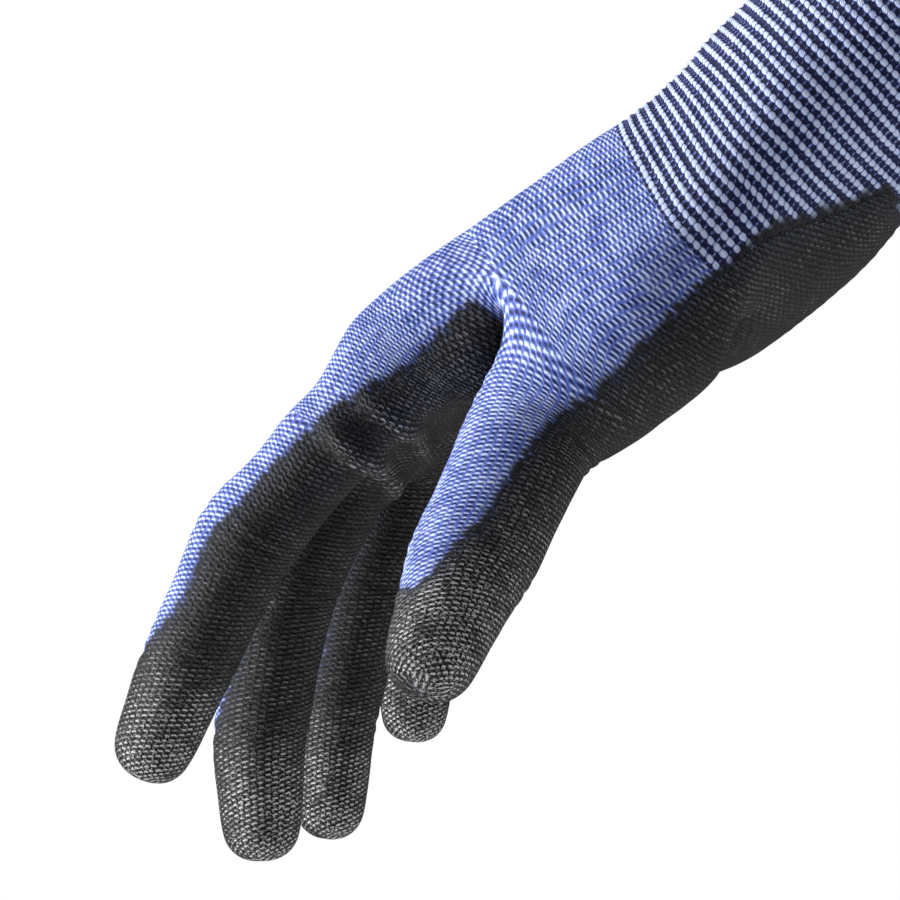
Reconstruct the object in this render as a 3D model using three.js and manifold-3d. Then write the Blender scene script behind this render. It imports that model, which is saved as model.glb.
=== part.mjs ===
// Cut resistant work glove for the right hand. A fine seamless knit covers the
// hand, a ribbed cuff with an overlocked hem closes on the wrist, and a thin
// matt coating covers the palm side and wraps round the fingertips.
//
// The knit bends at the wrist, across the knuckles and at every finger joint.
// At each bend the wall is a short crease sleeve, wide on the side that folds
// up, and the lengths between the creases turn about the joint.
//
// Millimetres. The origin is the centre of the cuff mouth. +X points up the
// forearm out of the glove, the fingers point to -X, +Z is the back of the
// hand and the thumb is towards -Y.

import * as THREE from 'three';
import { mergeVertices } from 'three/addons/utils/BufferGeometryUtils.js';
import Module from 'manifold-3d';

// ---- driving dimensions -----------------------------------------------------

const KNIT_WALL = 1.0;        // wall of the knitted liner
const COATING_WALL = 0.5;     // wall of the coating
const GAP = 0.3;              // clearance between neighbouring pieces
const HEM_LENGTH = 4;         // overlocked edge, along the cuff
const HEM_THICKENING = 0.7;   // how far the hem stands in and out of the wall

const WRIST_X = -69;          // wrist bend, on the cuff axis
const WRIST_EXTENSION = 13.4; // degrees that the hand is lifted off the cuff axis
const RIB_END = -9;           // where the ribs give way to fine knit, hand frame X
const HEEL_COATING_X = -47;   // edge of the coating on the cuff
const WEB_DISTANCE = 21;      // from a knuckle to the web between the fingers
const BASE_HINGE = 2.5;       // finger hinge, beyond the web
const WEB_SLEEVE = 7;         // reach of the web crease behind the finger hinges
const THUMB_NECK = 31;        // widest place of the thumb, from its root
const THUMB_SWING = 38;       // thumb swing joint, from the thumb root
const SWING_STEPS = [4, 8, 12]; // swings towards the palm that the thumb root is cut back for, in degrees
const THUMB_KNUCKLE = 4;      // thumb knuckle crease, beyond the knuckle
const SLEEVE_HALF = 1.3;      // half length of a crease sleeve at its narrowest
const FINGER_FLATTEN = 0.89;  // width of a finger over its depth
const TIP_WRAP = 9;           // length of fingertip that the coating closes round
const FINGER_BACK_WIDTH = 40; // width of the uncoated back of a finger, past its sides
const FINGER_BACK_HEIGHT = 30;
const FINGER_BACK_FROM = 9;   // where the uncoated back of a finger starts, from its knuckle
const THUMB_BACK_FROM = 36;
const HAND_BACK_WIDTH = 120;
const HAND_BACK_HEIGHT = 60;
const PALM_PITCH = 18;        // degrees that the palm crease leans forward
const THUMB_OPENING = 2;      // how far the thumb's hollow runs past its swing joint

const FINGER_SIDES = 10;
const HAND_SIDES = 20;
const DOME = Math.PI / 4;     // where the dome of a fingertip has its middle section
const CUT = 220;              // size of a cutting block, larger than the glove

// Fingers in the hand frame: its origin is the wrist bend and it is turned by
// the wrist extension. Bends are the flexed angles at knuckle, middle and end
// joint, in degrees. Radii are at the knuckle, the neck at the web, the middle
// joint, the end joint and the tip.
const FINGERS = {
  index: {
    knuckle: [-71, -27, 2], spread: 3, lengths: [46, 27, 26],
    bends: [20, 15, 5], radii: [10, 10, 10.6, 9.4, 8.4],
  },
  middle: {
    knuckle: [-75, -5.5, 6], spread: 0.5, lengths: [50, 31, 27],
    bends: [31, 20, 12], radii: [10.4, 10.4, 10.8, 9.6, 8.6],
  },
  ring: {
    knuckle: [-70, 15.5, 4], spread: -1.7, lengths: [47, 29, 26],
    bends: [36, 11, 9], radii: [10, 10, 10, 8.9, 8.1],
  },
  little: {
    knuckle: [-62, 34.5, -2], spread: -3.4, lengths: [36, 21, 24],
    bends: [29, 16, 12], radii: [9.2, 9.2, 9.3, 8.3, 7.6],
  },
};

const THUMB = {
  root: [-9, -26, -12], azimuth: 6.1, drop: 17, twist: 46.4,
  lengths: [46, 34, 30], bends: [33, 11], radii: [13, 19, 13.6, 10.7, 8.4],
};

// Flexing and straightening that each crease leaves room for, in degrees.
const ROOM = {
  wrist: [34, 34],
  palm: [30, 6],
  base: [40, 20],
  middle: [56, 16],
  end: [38, 14],
  swing: [24, 24],
  knuckle: [36, 16],
  thumb_end: [30, 16],
};

// Cross-sections of the cuff, in the glove frame: position, half width, half depth.
const CUFF_SECTIONS = [
  [6, 33, 25.5],
  [-24, 33, 25.8],
  [-48, 33, 26.4],
];

// Cross-sections of the hand, in the hand frame: centre, half width, half
// depth, the slant across the hand and the pitch of the section in degrees, and
// how square the section is: 2 is an ellipse.
const HAND_SECTIONS = [
  { at: [-14, 0.5, -0.5], half: [33.5, 26.5], slant: 0, pitch: 0, square: 2.2 },
  { at: [-34, 2, 0], half: [36, 23], slant: 2, pitch: 2, square: 2.4 },
  { at: [-55, 4, 1], half: [40, 18.5], slant: 8, pitch: 8, square: 2.7 },
  { at: [-72, 4, 0.5], half: [41, 13.5], slant: 11.5, pitch: 22, square: 3 },
  { at: [-82, 4, -5], half: [40, 9.5], slant: 12, pitch: 30, square: 3 },
  { at: [-89, 4, -9], half: [39, 6], slant: 12, pitch: 30, square: 3 },
];

const COLOURS = {
  knit: { color: 0x4f62b8, roughness: 0.85, metalness: 0 },
  rib: { color: 0x7f8fc4, roughness: 0.9, metalness: 0 },
  coating: { color: 0x1d1d1f, roughness: 0.6, metalness: 0 },
  hem: { color: 0x2b3570, roughness: 0.85, metalness: 0 },
};

// ---- frames and solids ------------------------------------------------------

const wasm = await Module();
wasm.setup();

const radians = THREE.MathUtils.degToRad;
const vector = (list) => new THREE.Vector3(...list);
const X_AXIS = vector([1, 0, 0]);
const Y_AXIS = vector([0, 1, 0]);
const Z_AXIS = vector([0, 0, 1]);

const handFrame = new THREE.Matrix4().makeRotationY(radians(WRIST_EXTENSION));
handFrame.setPosition(WRIST_X, 0, 0);

const handPoint = (list) => vector(list).applyMatrix4(handFrame);
const handDirection = (direction) => direction.clone().transformDirection(handFrame);
const turned = (v, axis, angle) => v.clone().applyAxisAngle(axis, angle);
const along = (point, direction, distance) => point.clone().addScaledVector(direction, distance);
const middleOf = (a, b) => a.clone().add(b).normalize();
const sumOf = (vectors) => vectors.reduce((sum, v) => sum.add(v), vector([0, 0, 0]));
const averageOf = (points) => sumOf(points).divideScalar(points.length);

// A closed three.js geometry as a solid that can be joined and cut.
function toSolid(geometry) {
  geometry.deleteAttribute('normal');
  geometry.deleteAttribute('uv');
  const merged = mergeVertices(geometry, 1e-4);
  return new wasm.Manifold(new wasm.Mesh({
    numProp: 3,
    vertProperties: new Float32Array(merged.attributes.position.array),
    triVerts: new Uint32Array(merged.index.array),
  }));
}

// A closed skin through rounded sections. Each section has a centre, the
// directions of its width and depth, and its half width and half depth.
// startTip and endTip are the points that close the two ends.
function loft(sections, sides, startTip, endTip) {
  const positions = [];
  for (const { centre, across, up, width, depth, square = 2 } of sections) {
    const bulge = (value) => Math.sign(value) * Math.abs(value) ** (2 / square);
    for (let i = 0; i < sides; i += 1) {
      const angle = (2 * Math.PI * i) / sides;
      const point = along(centre, across, width * bulge(Math.cos(angle)));
      positions.push(...point.addScaledVector(up, depth * bulge(Math.sin(angle))));
    }
  }
  positions.push(...startTip, ...endTip);
  const start = sections.length * sides;
  const end = start + 1;
  const last = (sections.length - 1) * sides;
  const faces = [];
  for (let i = 0; i < sides; i += 1) {
    const next = (i + 1) % sides;
    faces.push(start, i, next, end, last + next, last + i);
    for (let ring = 0; ring < last; ring += sides) {
      const a = ring + i;
      const b = ring + next;
      faces.push(a, a + sides, b + sides, a, b + sides, b);
    }
  }
  const geometry = new THREE.BufferGeometry();
  geometry.setAttribute('position', new THREE.Float32BufferAttribute(positions, 3));
  geometry.setIndex(faces);
  return toSolid(geometry);
}

// Everything on the far side of a plane.
function beyondPlane(point, normal) {
  const block = new THREE.BoxGeometry(CUT, CUT, CUT);
  block.applyQuaternion(new THREE.Quaternion().setFromUnitVectors(Z_AXIS, normal));
  const centre = along(point, normal, CUT / 2);
  block.translate(centre.x, centre.y, centre.z);
  return toSolid(block);
}

// The largest piece of a solid, without slivers left by a cut.
function largest(solid) {
  const pieces = solid.decompose();
  return pieces.reduce((best, piece) => (piece.volume() > best.volume() ? piece : best));
}

// A crease has a hinge point, a hinge axis, a direction along the limb and the
// room for flexing and straightening. Positive turns about the axis flex.
// farSide is everything past the end of the limb before the crease, and
// nearSide is everything behind the start of the limb after it.
function farSide(crease, clearance = 0) {
  const point = along(crease.point, crease.direction, clearance - SLEEVE_HALF);
  const [flex, straighten] = crease.room.map((angle) => radians(angle / 2));
  const flexPlane = turned(crease.direction, crease.axis, flex);
  const straightPlane = turned(crease.direction, crease.axis, -straighten);
  return beyondPlane(point, flexPlane).add(beyondPlane(point, straightPlane));
}

function nearSide(crease, clearance = 0) {
  const point = along(crease.point, crease.direction, SLEEVE_HALF - clearance);
  const [flex, straighten] = crease.room.map((angle) => radians(angle / 2));
  const flexPlane = turned(crease.direction, crease.axis, -flex).negate();
  const straightPlane = turned(crease.direction, crease.axis, straighten).negate();
  return beyondPlane(point, flexPlane).add(beyondPlane(point, straightPlane));
}

const sleeveOf = (wall, crease) =>
  largest(wall.intersect(farSide(crease, GAP)).intersect(nearSide(crease, GAP)));

// A solid turned about the hinge of a crease.
function swung(solid, crease, angle) {
  const { x, y, z } = crease.point;
  const matrix = new THREE.Matrix4().makeTranslation(x, y, z);
  matrix.multiply(new THREE.Matrix4().makeRotationAxis(crease.axis.clone().normalize(), angle));
  matrix.multiply(new THREE.Matrix4().makeTranslation(-x, -y, -z));
  return solid.transform(matrix.elements);
}

// ---- limbs: fingers and thumb -----------------------------------------------

// The joint points and phalanx directions of one finger.
function fingerLimb({ knuckle, spread, lengths, bends, radii }) {
  const across = turned(Y_AXIS, Z_AXIS, radians(spread));
  const straight = turned(X_AXIS, Z_AXIS, radians(spread)).negate();
  const shape = { radii, neck: WEB_DISTANCE, widthRatio: FINGER_FLATTEN };
  return bentLimb(handPoint(knuckle), straight, across, lengths, bends, shape);
}

// The thumb leaves the palm along its own line and bends about a twisted axis.
function thumbLimb({ root, azimuth, drop, twist, lengths, bends, radii }) {
  const sideways = radians(azimuth);
  const down = radians(drop);
  const straight = vector([
    -Math.cos(sideways) * Math.cos(down),
    -Math.sin(sideways) * Math.cos(down),
    -Math.sin(down),
  ]);
  const level = straight.clone().cross(Z_AXIS).normalize();
  const across = turned(level, straight, radians(twist));
  const shape = { radii, neck: THUMB_NECK, widthRatio: 1 };
  return bentLimb(handPoint(root), straight, across, lengths, [0, ...bends], shape);
}

function bentLimb(start, straight, acrossHand, lengths, bends, shape) {
  const points = [start];
  const directions = [];
  let bend = 0;
  lengths.forEach((length, i) => {
    bend += radians(bends[i]);
    const direction = handDirection(turned(straight, acrossHand, -bend));
    directions.push(direction);
    points.push(along(points[i], direction, length));
  });
  return { points, directions, across: handDirection(acrossHand), lengths, ...shape };
}

// The skin of a limb, grown by a distance, with a domed tip. The section at a
// bend is mitred, so that the limb keeps its depth there.
function limbSkin(limb, grow) {
  const { points, directions, across, radii, neck, widthRatio } = limb;
  const sections = [];
  const addSection = (centre, direction, radius, shrink = 1, mitre = 1) => sections.push({
    centre,
    across,
    up: across.clone().cross(direction),
    width: (radius * widthRatio + grow) * shrink,
    depth: (radius + grow) * shrink * mitre,
  });
  const [first, second, third] = directions;
  addSection(points[0], first, radii[0]);
  addSection(along(points[0], first, neck), first, radii[1]);
  [[first, second], [second, third]].forEach(([before, after], i) => {
    const mitre = 1 / Math.cos(before.angleTo(after) / 2);
    addSection(points[i + 1], middleOf(before, after), radii[i + 2], 1, mitre);
  });
  const tipRadius = radii[4];
  const tipCentre = along(points[3], third, -tipRadius);
  addSection(tipCentre, third, tipRadius);
  const shoulder = along(tipCentre, third, (tipRadius + grow) * Math.sin(DOME));
  addSection(shoulder, third, tipRadius, Math.cos(DOME));
  const startTip = along(points[0], first, -2 - grow);
  return loft(sections, FINGER_SIDES, startTip, along(points[3], third, grow));
}

// A slab over the back of a limb, from its mid line up, that stops short of the tip.
function limbBack(limb, from) {
  const { points, directions, across, lengths } = limb;
  const stations = [
    [along(points[0], directions[0], from), directions[0]],
    [points[1], middleOf(directions[0], directions[1])],
    [points[2], middleOf(directions[1], directions[2])],
    [along(points[2], directions[2], lengths[2] - TIP_WRAP), directions[2]],
  ];
  const sections = stations.map(([point, direction]) => {
    const up = across.clone().cross(direction);
    const centre = along(point, up, FINGER_BACK_HEIGHT / 2);
    return { centre, across, up, width: FINGER_BACK_WIDTH / 2, depth: FINGER_BACK_HEIGHT / 2 };
  });
  return slab(sections);
}

// A slab through rectangular sections.
function slab(sections) {
  const corners = [[1, -1], [1, 1], [-1, 1], [-1, -1]];
  const positions = [];
  for (const { centre, across, up, width, depth } of sections) {
    for (const [x, y] of corners) {
      positions.push(...along(centre, across, x * width).addScaledVector(up, y * depth));
    }
  }
  const faces = [];
  const last = (sections.length - 1) * corners.length;
  for (let ring = 0; ring < last; ring += corners.length) {
    for (let i = 0; i < corners.length; i += 1) {
      const a = ring + i;
      const b = ring + ((i + 1) % corners.length);
      faces.push(a, a + corners.length, b + corners.length, a, b + corners.length, b);
    }
  }
  faces.push(0, 1, 2, 0, 2, 3, last, last + 2, last + 1, last, last + 3, last + 2);
  const geometry = new THREE.BufferGeometry();
  geometry.setAttribute('position', new THREE.Float32BufferAttribute(positions, 3));
  geometry.setIndex(faces);
  return toSolid(geometry);
}

// ---- cuff and hand ----------------------------------------------------------

function bodySkin(grow) {
  const cuff = CUFF_SECTIONS.map(([x, width, depth]) => ({
    centre: vector([x, 0, 0]),
    across: Y_AXIS,
    up: Z_AXIS,
    width: width + grow,
    depth: depth + grow,
  }));
  const bend = turned(Z_AXIS, Y_AXIS, radians(WRIST_EXTENSION / 2));
  cuff.push({
    centre: handPoint([0, 0, 0]), across: Y_AXIS, up: bend, width: 33 + grow, depth: 27 + grow,
  });
  const hand = HAND_SECTIONS.map(({ at, half, slant, pitch, square }) => {
    const across = turned(Y_AXIS, Z_AXIS, -radians(slant));
    return {
      centre: handPoint(at),
      across: handDirection(across),
      up: handDirection(turned(Z_AXIS, across, -radians(pitch))),
      width: half[0] + grow,
      depth: half[1] + grow,
      square,
    };
  });
  const end = hand.at(-1);
  const forward = end.up.clone().cross(end.across);
  return loft([...cuff, ...hand], HAND_SIDES, vector([8, 0, 0]), along(end.centre, forward, 3 + grow));
}

// A slab over the back of the hand. Its underside is the edge of the coating,
// which drops towards the wrist and leaves the cuff blue except at the heel.
function bodyBack() {
  const edge = [
    [70, -15], [RIB_END, -17], [-30, -12], [-48, -3], [-62, 1], [-75, 0], [-84, -4], [-105, -14],
  ];
  const up = handDirection(Z_AXIS);
  return slab(edge.map(([x, z]) => ({
    centre: along(handPoint([x, 0, z]), up, HAND_BACK_HEIGHT / 2),
    across: Y_AXIS,
    up,
    width: HAND_BACK_WIDTH / 2,
    depth: HAND_BACK_HEIGHT / 2,
  })));
}

// ---- creases ----------------------------------------------------------------

const limbs = Object.fromEntries(
  Object.entries(FINGERS).map(([name, finger]) => [name, fingerLimb(finger)]),
);
const thumb = thumbLimb(THUMB);

function creaseAt(limb, joint, room) {
  return {
    point: limb.points[joint],
    axis: limb.across.clone().negate(),
    direction: middleOf(limb.directions[joint - 1], limb.directions[joint]),
    room,
  };
}

const wristCrease = {
  point: handPoint([0, 0, 0]),
  axis: Y_AXIS.clone().negate(),
  direction: turned(X_AXIS, Y_AXIS, radians(WRIST_EXTENSION / 2)).negate(),
  room: ROOM.wrist,
};

const knuckleLine = limbs.index.points[0].clone().sub(limbs.little.points[0]).normalize();
const palmUp = handDirection(turned(Z_AXIS, Y_AXIS, -radians(PALM_PITCH)));
const palmCrease = {
  point: averageOf(Object.values(limbs).map((limb) => limb.points[0])),
  axis: knuckleLine,
  direction: palmUp.clone().cross(knuckleLine).negate().normalize(),
  room: ROOM.palm,
};

const baseCreases = Object.fromEntries(Object.entries(limbs).map(([name, limb]) => [name, {
  point: along(limb.points[0], limb.directions[0], WEB_DISTANCE + BASE_HINGE),
  axis: limb.across.clone().negate(),
  direction: limb.directions[0],
  room: ROOM.base,
}]));

const hinges = Object.values(baseCreases);
const webDirection = sumOf(hinges.map((hinge) => hinge.direction)).normalize();
const hingeLine = baseCreases.index.point.clone().sub(baseCreases.little.point).normalize();
const webNormal = webDirection.clone().addScaledVector(hingeLine, -webDirection.dot(hingeLine)).normalize();
const webPoint = along(averageOf(hinges.map((hinge) => hinge.point)), webNormal, -WEB_SLEEVE);

const swingCrease = {
  point: along(thumb.points[0], thumb.directions[0], THUMB_SWING),
  axis: thumb.across.clone().cross(thumb.directions[0]),
  direction: thumb.directions[0],
  room: ROOM.swing,
};
const knuckleCrease = {
  point: along(thumb.points[1], thumb.directions[1], THUMB_KNUCKLE),
  axis: thumb.across.clone().negate(),
  direction: thumb.directions[1],
  room: ROOM.knuckle,
};
const thumbEndCrease = creaseAt(thumb, 2, ROOM.thumb_end);

// ---- nodes ------------------------------------------------------------------

const glove = new THREE.Group();

function addNode(name, solid, material) {
  const { vertProperties, triVerts } = largest(solid).getMesh();
  const geometry = new THREE.BufferGeometry();
  geometry.setAttribute('position', new THREE.BufferAttribute(vertProperties, 3));
  geometry.setIndex(new THREE.BufferAttribute(triVerts, 1));
  geometry.computeVertexNormals();
  const mesh = new THREE.Mesh(geometry, new THREE.MeshStandardMaterial(COLOURS[material]));
  mesh.name = name;
  glove.add(mesh);
}

// Both skins of the whole hand: palm and back, finger roots and thumb root.
const thumbRootEnd = farSide(swingCrease);
const fingerSkins = (grow) => Object.values(limbs).map((limb) => limbSkin(limb, grow));

function handSkin(grow, thumbEnd) {
  const root = limbSkin(thumb, grow).subtract(thumbEnd);
  return fingerSkins(grow).reduce((whole, finger) => whole.add(finger), bodySkin(grow).add(root));
}

const thumbOpening = along(swingCrease.point, swingCrease.direction, THUMB_OPENING);
const thumbOpeningEnd = beyondPlane(thumbOpening, swingCrease.direction);
const handWall = handSkin(0, thumbRootEnd).subtract(handSkin(-KNIT_WALL, thumbOpeningEnd));
const handCoatingWall = handSkin(GAP + COATING_WALL, thumbRootEnd)
  .subtract(handSkin(GAP, thumbOpeningEnd))
  .subtract(bodyBack());

// Everything beyond the web: the parts of the fingers that move on their own.
function fingerRegion(name, clearance) {
  return limbSkin(limbs[name], COATING_WALL + 2 * GAP).subtract(nearSide(baseCreases[name], clearance));
}

const webFar = beyondPlane(webPoint, webNormal);
const webFarWithGap = beyondPlane(along(webPoint, webNormal, GAP), webNormal);

function addHem() {
  const plane = beyondPlane(vector([-HEM_LENGTH, 0, 0]), X_AXIS);
  const mouth = beyondPlane(vector([0, 0, 0]), X_AXIS);
  const ring = bodySkin(HEM_THICKENING).subtract(bodySkin(-KNIT_WALL - HEM_THICKENING));
  addNode('cuff_hem', ring.intersect(plane).subtract(mouth), 'hem');
}

function addCuffAndHand() {
  const hemPlane = beyondPlane(vector([-HEM_LENGTH - GAP, 0, 0]), X_AXIS);
  addNode('cuff', handWall.subtract(hemPlane).subtract(farSide(wristCrease)), 'rib');
  addNode('wrist_sleeve', sleeveOf(handWall, wristCrease), 'rib');
  const hand = handWall.subtract(nearSide(wristCrease)).subtract(farSide(palmCrease));
  addNode('hand_shell', hand, 'knit');
  addNode('palm_crease_sleeve', sleeveOf(handWall, palmCrease), 'knit');
  addNode('knuckle_shell', handWall.subtract(nearSide(palmCrease)).subtract(webFar), 'knit');
  let web = handWall.intersect(webFarWithGap);
  Object.keys(limbs).forEach((name) => {
    web = web.subtract(fingerRegion(name, GAP));
  });
  addNode('finger_web', web, 'knit');
}

function addPalmCoating() {
  const heelEdge = beyondPlane(vector([HEEL_COATING_X, 0, 0]), X_AXIS);
  const heel = handCoatingWall.subtract(heelEdge).subtract(farSide(wristCrease));
  addNode('heel_coating', heel, 'coating');
  const palm = handCoatingWall.subtract(nearSide(wristCrease)).subtract(farSide(palmCrease));
  addNode('palm_coating', palm, 'coating');
  const knuckles = handCoatingWall.subtract(nearSide(palmCrease)).subtract(webFar);
  addNode('knuckle_coating', knuckles, 'coating');
}

// The stall of one finger or the thumb, from its first crease to its tip.
// keepOut is the space of the hand, which the stall stays clear of, and
// keepOff is what its first part stays clear of as it moves. The short root of
// the thumb has no coating of its own.
function addStall(name, limb, creases, partNames, backFrom, keepOut, keepOff) {
  const wall = limbSkin(limb, 0).subtract(limbSkin(limb, -KNIT_WALL)).subtract(keepOut);
  const coating = limbSkin(limb, GAP + COATING_WALL)
    .subtract(limbSkin(limb, GAP))
    .subtract(limbBack(limb, backFrom))
    .subtract(keepOut);
  creases.forEach((crease, i) => {
    const next = creases[i + 1];
    const start = i === 0 ? nearSide(crease).add(keepOff) : nearSide(crease);
    const lengthOf = (shell) => (next ? shell.subtract(start).subtract(farSide(next)) : shell.subtract(start));
    addNode(`${name}_${partNames[i]}`, lengthOf(wall), 'knit');
    if (partNames[i] !== 'root') {
      addNode(`${name}_${partNames[i]}_coating`, lengthOf(coating), 'coating');
    }
    if (next) addNode(`${name}_${partNames[i + 1]}_sleeve`, sleeveOf(wall.subtract(start), next), 'knit');
  });
  return wall;
}

function addFingers() {
  const nothing = beyondPlane(vector([CUT, 0, 0]), X_AXIS);
  Object.entries(limbs).forEach(([name, limb]) => {
    const creases = [baseCreases[name], creaseAt(limb, 1, ROOM.middle), creaseAt(limb, 2, ROOM.end)];
    addStall(name, limb, creases, ['base', 'middle', 'tip'], FINGER_BACK_FROM, nothing, nothing);
  });
}

// The space that the coated hand takes up, seen from a thumb swinging to the palm.
function handInSwing(grow) {
  const hand = bodySkin(grow);
  return SWING_STEPS.reduce((space, angle) => space.add(swung(hand, swingCrease, -radians(angle))), hand);
}

// The sleeve of the thumb's root also fills in where its root is cut back to swing.
function addThumb() {
  const creases = [swingCrease, knuckleCrease, thumbEndCrease];
  const coated = 2 * GAP + COATING_WALL;
  const hand = bodySkin(coated);
  const clear = handInSwing(coated + GAP);
  const wall = addStall('thumb', thumb, creases, ['root', 'base', 'tip'], THUMB_BACK_FROM, hand, clear);
  const space = nearSide(swingCrease, GAP).add(handInSwing(coated));
  const sleeve = wall.intersect(farSide(swingCrease, GAP)).intersect(space);
  addNode('thumb_root_sleeve', largest(sleeve), 'knit');
}

addHem();
addCuffAndHand();
addPalmCoating();
addFingers();
addThumb();

export default glove;
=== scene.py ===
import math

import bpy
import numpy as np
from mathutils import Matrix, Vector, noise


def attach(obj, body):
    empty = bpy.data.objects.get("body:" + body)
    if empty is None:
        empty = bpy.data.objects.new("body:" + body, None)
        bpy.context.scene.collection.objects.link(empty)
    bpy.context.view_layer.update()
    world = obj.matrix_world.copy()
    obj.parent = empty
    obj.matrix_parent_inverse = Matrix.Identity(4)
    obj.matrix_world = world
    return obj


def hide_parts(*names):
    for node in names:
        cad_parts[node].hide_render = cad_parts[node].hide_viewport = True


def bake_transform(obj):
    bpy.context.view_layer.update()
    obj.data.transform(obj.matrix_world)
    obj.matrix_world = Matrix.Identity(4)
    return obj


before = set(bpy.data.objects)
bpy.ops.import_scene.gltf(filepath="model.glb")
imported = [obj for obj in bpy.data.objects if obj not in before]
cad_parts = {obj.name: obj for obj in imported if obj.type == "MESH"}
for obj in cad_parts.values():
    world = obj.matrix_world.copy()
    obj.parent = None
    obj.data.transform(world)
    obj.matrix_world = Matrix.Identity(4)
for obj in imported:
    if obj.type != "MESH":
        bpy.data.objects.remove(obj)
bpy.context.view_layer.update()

# Cut resistant work glove for the right hand: a fine knitted liner with a ribbed
# cuff, an overlocked hem at its mouth, and a thin matt coating on the palm side
# that wraps round the fingertips.
#
# The glove is shaped as one cage of rings, from the mouth over the hand to five
# fingertips, and subdivided. The fine mesh is split into pieces half way between
# the joints, and each piece is given its thickness. Lengths are in millimetres
# until the meshes are made.

# ---- driving dimensions ------------------------------------------------------

MM = 0.001
LINER_WALL = 1.0             # thickness of the knit
COATING_THICKNESS = 0.38     # thickness of the coating away from its edge
COATING_EDGE = 0.1           # thickness of the coating at its edge
COATING_LIFT = 0.02          # space between liner and coating
SUBDIVISIONS = 3             # how often the cage's quads are divided in four

COURSE = 1.08                # height of a row of stitches in the fine knit
RIDGE = 2.4                  # pitch of the ribs round the cuff
RIDGE_HEIGHT = 0.3           # half height of a rib

WRIST_X = -69                # wrist bend, on the cuff axis
WRIST_EXTENSION = math.radians(13.4)
HEM_LENGTH = 4               # length of the hem along the cuff
RIB_END = 78                 # where the ribs give way to fine knit, from the mouth
CUFF_RING_STEP = 4.6         # spacing of the rings along the cuff
WEB_DISTANCE = 21            # from a knuckle to the web between the fingers
BEND_ROUNDING = 7            # how far from a joint its centre line is rounded
WRIST_ROUNDING = 16          # the same at the wrist
SWELL_SPAN = (-44, 30)       # where the cuff swells into the thumb, from the wrist bend
HOLLOW_SPAN = (2, 32)        # where the hollow beside the thumb opens
HOLLOW_SHARE = 0.8           # how much of the hollow opens
THUMB_LAG = 7.5              # how far distances along the thumb run behind those past the wrist
HOLLOW_ROUNDS = 60           # rounds of evening out that fill a ring's hollows
FINGER_FLATTEN = 0.89        # width of a finger over its depth

# Fingers in the hand frame, which starts at the wrist bend and is tilted by the
# wrist extension: knuckle, spread, phalanx lengths, bends in degrees, and radii
# at the web, half way to the middle joint, at the middle joint, half way to the
# end joint, at the end joint and at the tip.
FINGERS = {
    "index": {"knuckle": (-71, -27, 2), "spread": 3, "lengths": (46, 27, 26),
              "bends": (20, 15, 5), "radii": (10, 9.6, 10.3, 9.4, 9.3, 7.7)},
    "middle": {"knuckle": (-75, -5.5, 6), "spread": 0.5, "lengths": (50, 31, 27),
               "bends": (31, 20, 12), "radii": (10.4, 10.1, 10.8, 10, 9.5, 7.9)},
    "ring": {"knuckle": (-70, 15.5, 4), "spread": -1.7, "lengths": (47, 29, 26),
             "bends": (36, 11, 9), "radii": (10, 9.5, 9.4, 8.7, 8.1, 7.2)},
    "little": {"knuckle": (-62, 34.5, -2), "spread": -3.4, "lengths": (36, 21, 24),
               "bends": (29, 16, 12), "radii": (9.2, 8.9, 9.3, 8.5, 8.2, 7)},
}
THUMB = {"root": (-9, -26, -12), "azimuth": 6.1, "drop": 17, "twist": 46.4,
         "lengths": (46, 34, 30), "bends": (0, 33, 11),
         "stations": (0, 15, 31, 46, 63, 80, 101.6), "radii": (16.5, 19.8, 16.6, 12.6, 11.2, 11.2, 8.4)}

# How far the back of a finger stands out of its round section, at the web, half
# way to the middle joint, at it, half way to the end joint, at it and at the tip.
FINGER_BACK = (0, -0.9, 0.9, 0.2, 0.3, 0.3)

# How far the pad side of the thumb stands out of its round section.
THUMB_PAD_STATIONS = (0, 31, 48, 60, 74, 86, 101.6)
THUMB_PAD = (3, 1, 0.6, 1.6, 2, 0.8, 0.2)

# Sections of the cuff and hand: distance from the mouth along the centre line,
# then in the hand frame the sideways and upward offset, half width, half depth,
# slant across the hand and pitch in degrees, and how square the section is.
BODY_SECTIONS = np.array([
    (0, 0, 0, 33, 25.5, 0, 0, 2),
    (24, 0, 0, 33, 25.8, 0, 0, 2),
    (48, 0, -0.6, 33, 26.2, 0, 0, 2),
    (69, 0, -1.4, 33, 26.4, 0, 0, 2),
    (83, 0.5, -1.4, 33.5, 26, 0, 0, 2.2),
    (103, 2, 0, 36, 23, 2, 2, 2.4),
    (124, 4, 1.6, 40, 19.1, 8, 8, 2.7),
    (141, 4, 0.5, 41, 15.2, 11.5, 22, 3),
])

# The cage's rings: points round each, and stitches round each.
CUFF_SIDES = 26
HAND_SIDES = 20
FINGER_SIDES = 8
THUMB_SIDES = 10
HAND_COLUMNS = 18            # columns that stay with the hand where the thumb leaves it
SIDE_COLUMN = 9              # the column along the side of the little finger
BACK_COLUMN, PALM_COLUMN = 4, 14
CORNER_SHARE = 0.88          # how far out the columns beside the side columns are
FIRST_ANGLE, SIDE_ANGLE, LAST_ANGLE = 160, 12, -105      # where columns 0, 9 and 18 run round the cuff
SEAM = 3                     # points of a finger's ring before its stitches start
CUFF_WALES = 112
WRIST_WALES = 106
HAND_WALES = 116
FINGER_WALES = 36
THUMB_WALES = 44

# Where the rings are, as distances from the mouth along the centre line.
WRIST_RINGS = ((83.5, "wrist"), (89, "wrist"), (96, "hand"), (102.5, "hand"))
THUMB_WEB_RING = 112         # the ring at which the thumb leaves the hand
HAND_RINGS = (119.5, 128)
KNUCKLE_RING = 140
ROOT_RING = 151
FINGER_OFFSET = 139          # added to a distance along a finger

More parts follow.
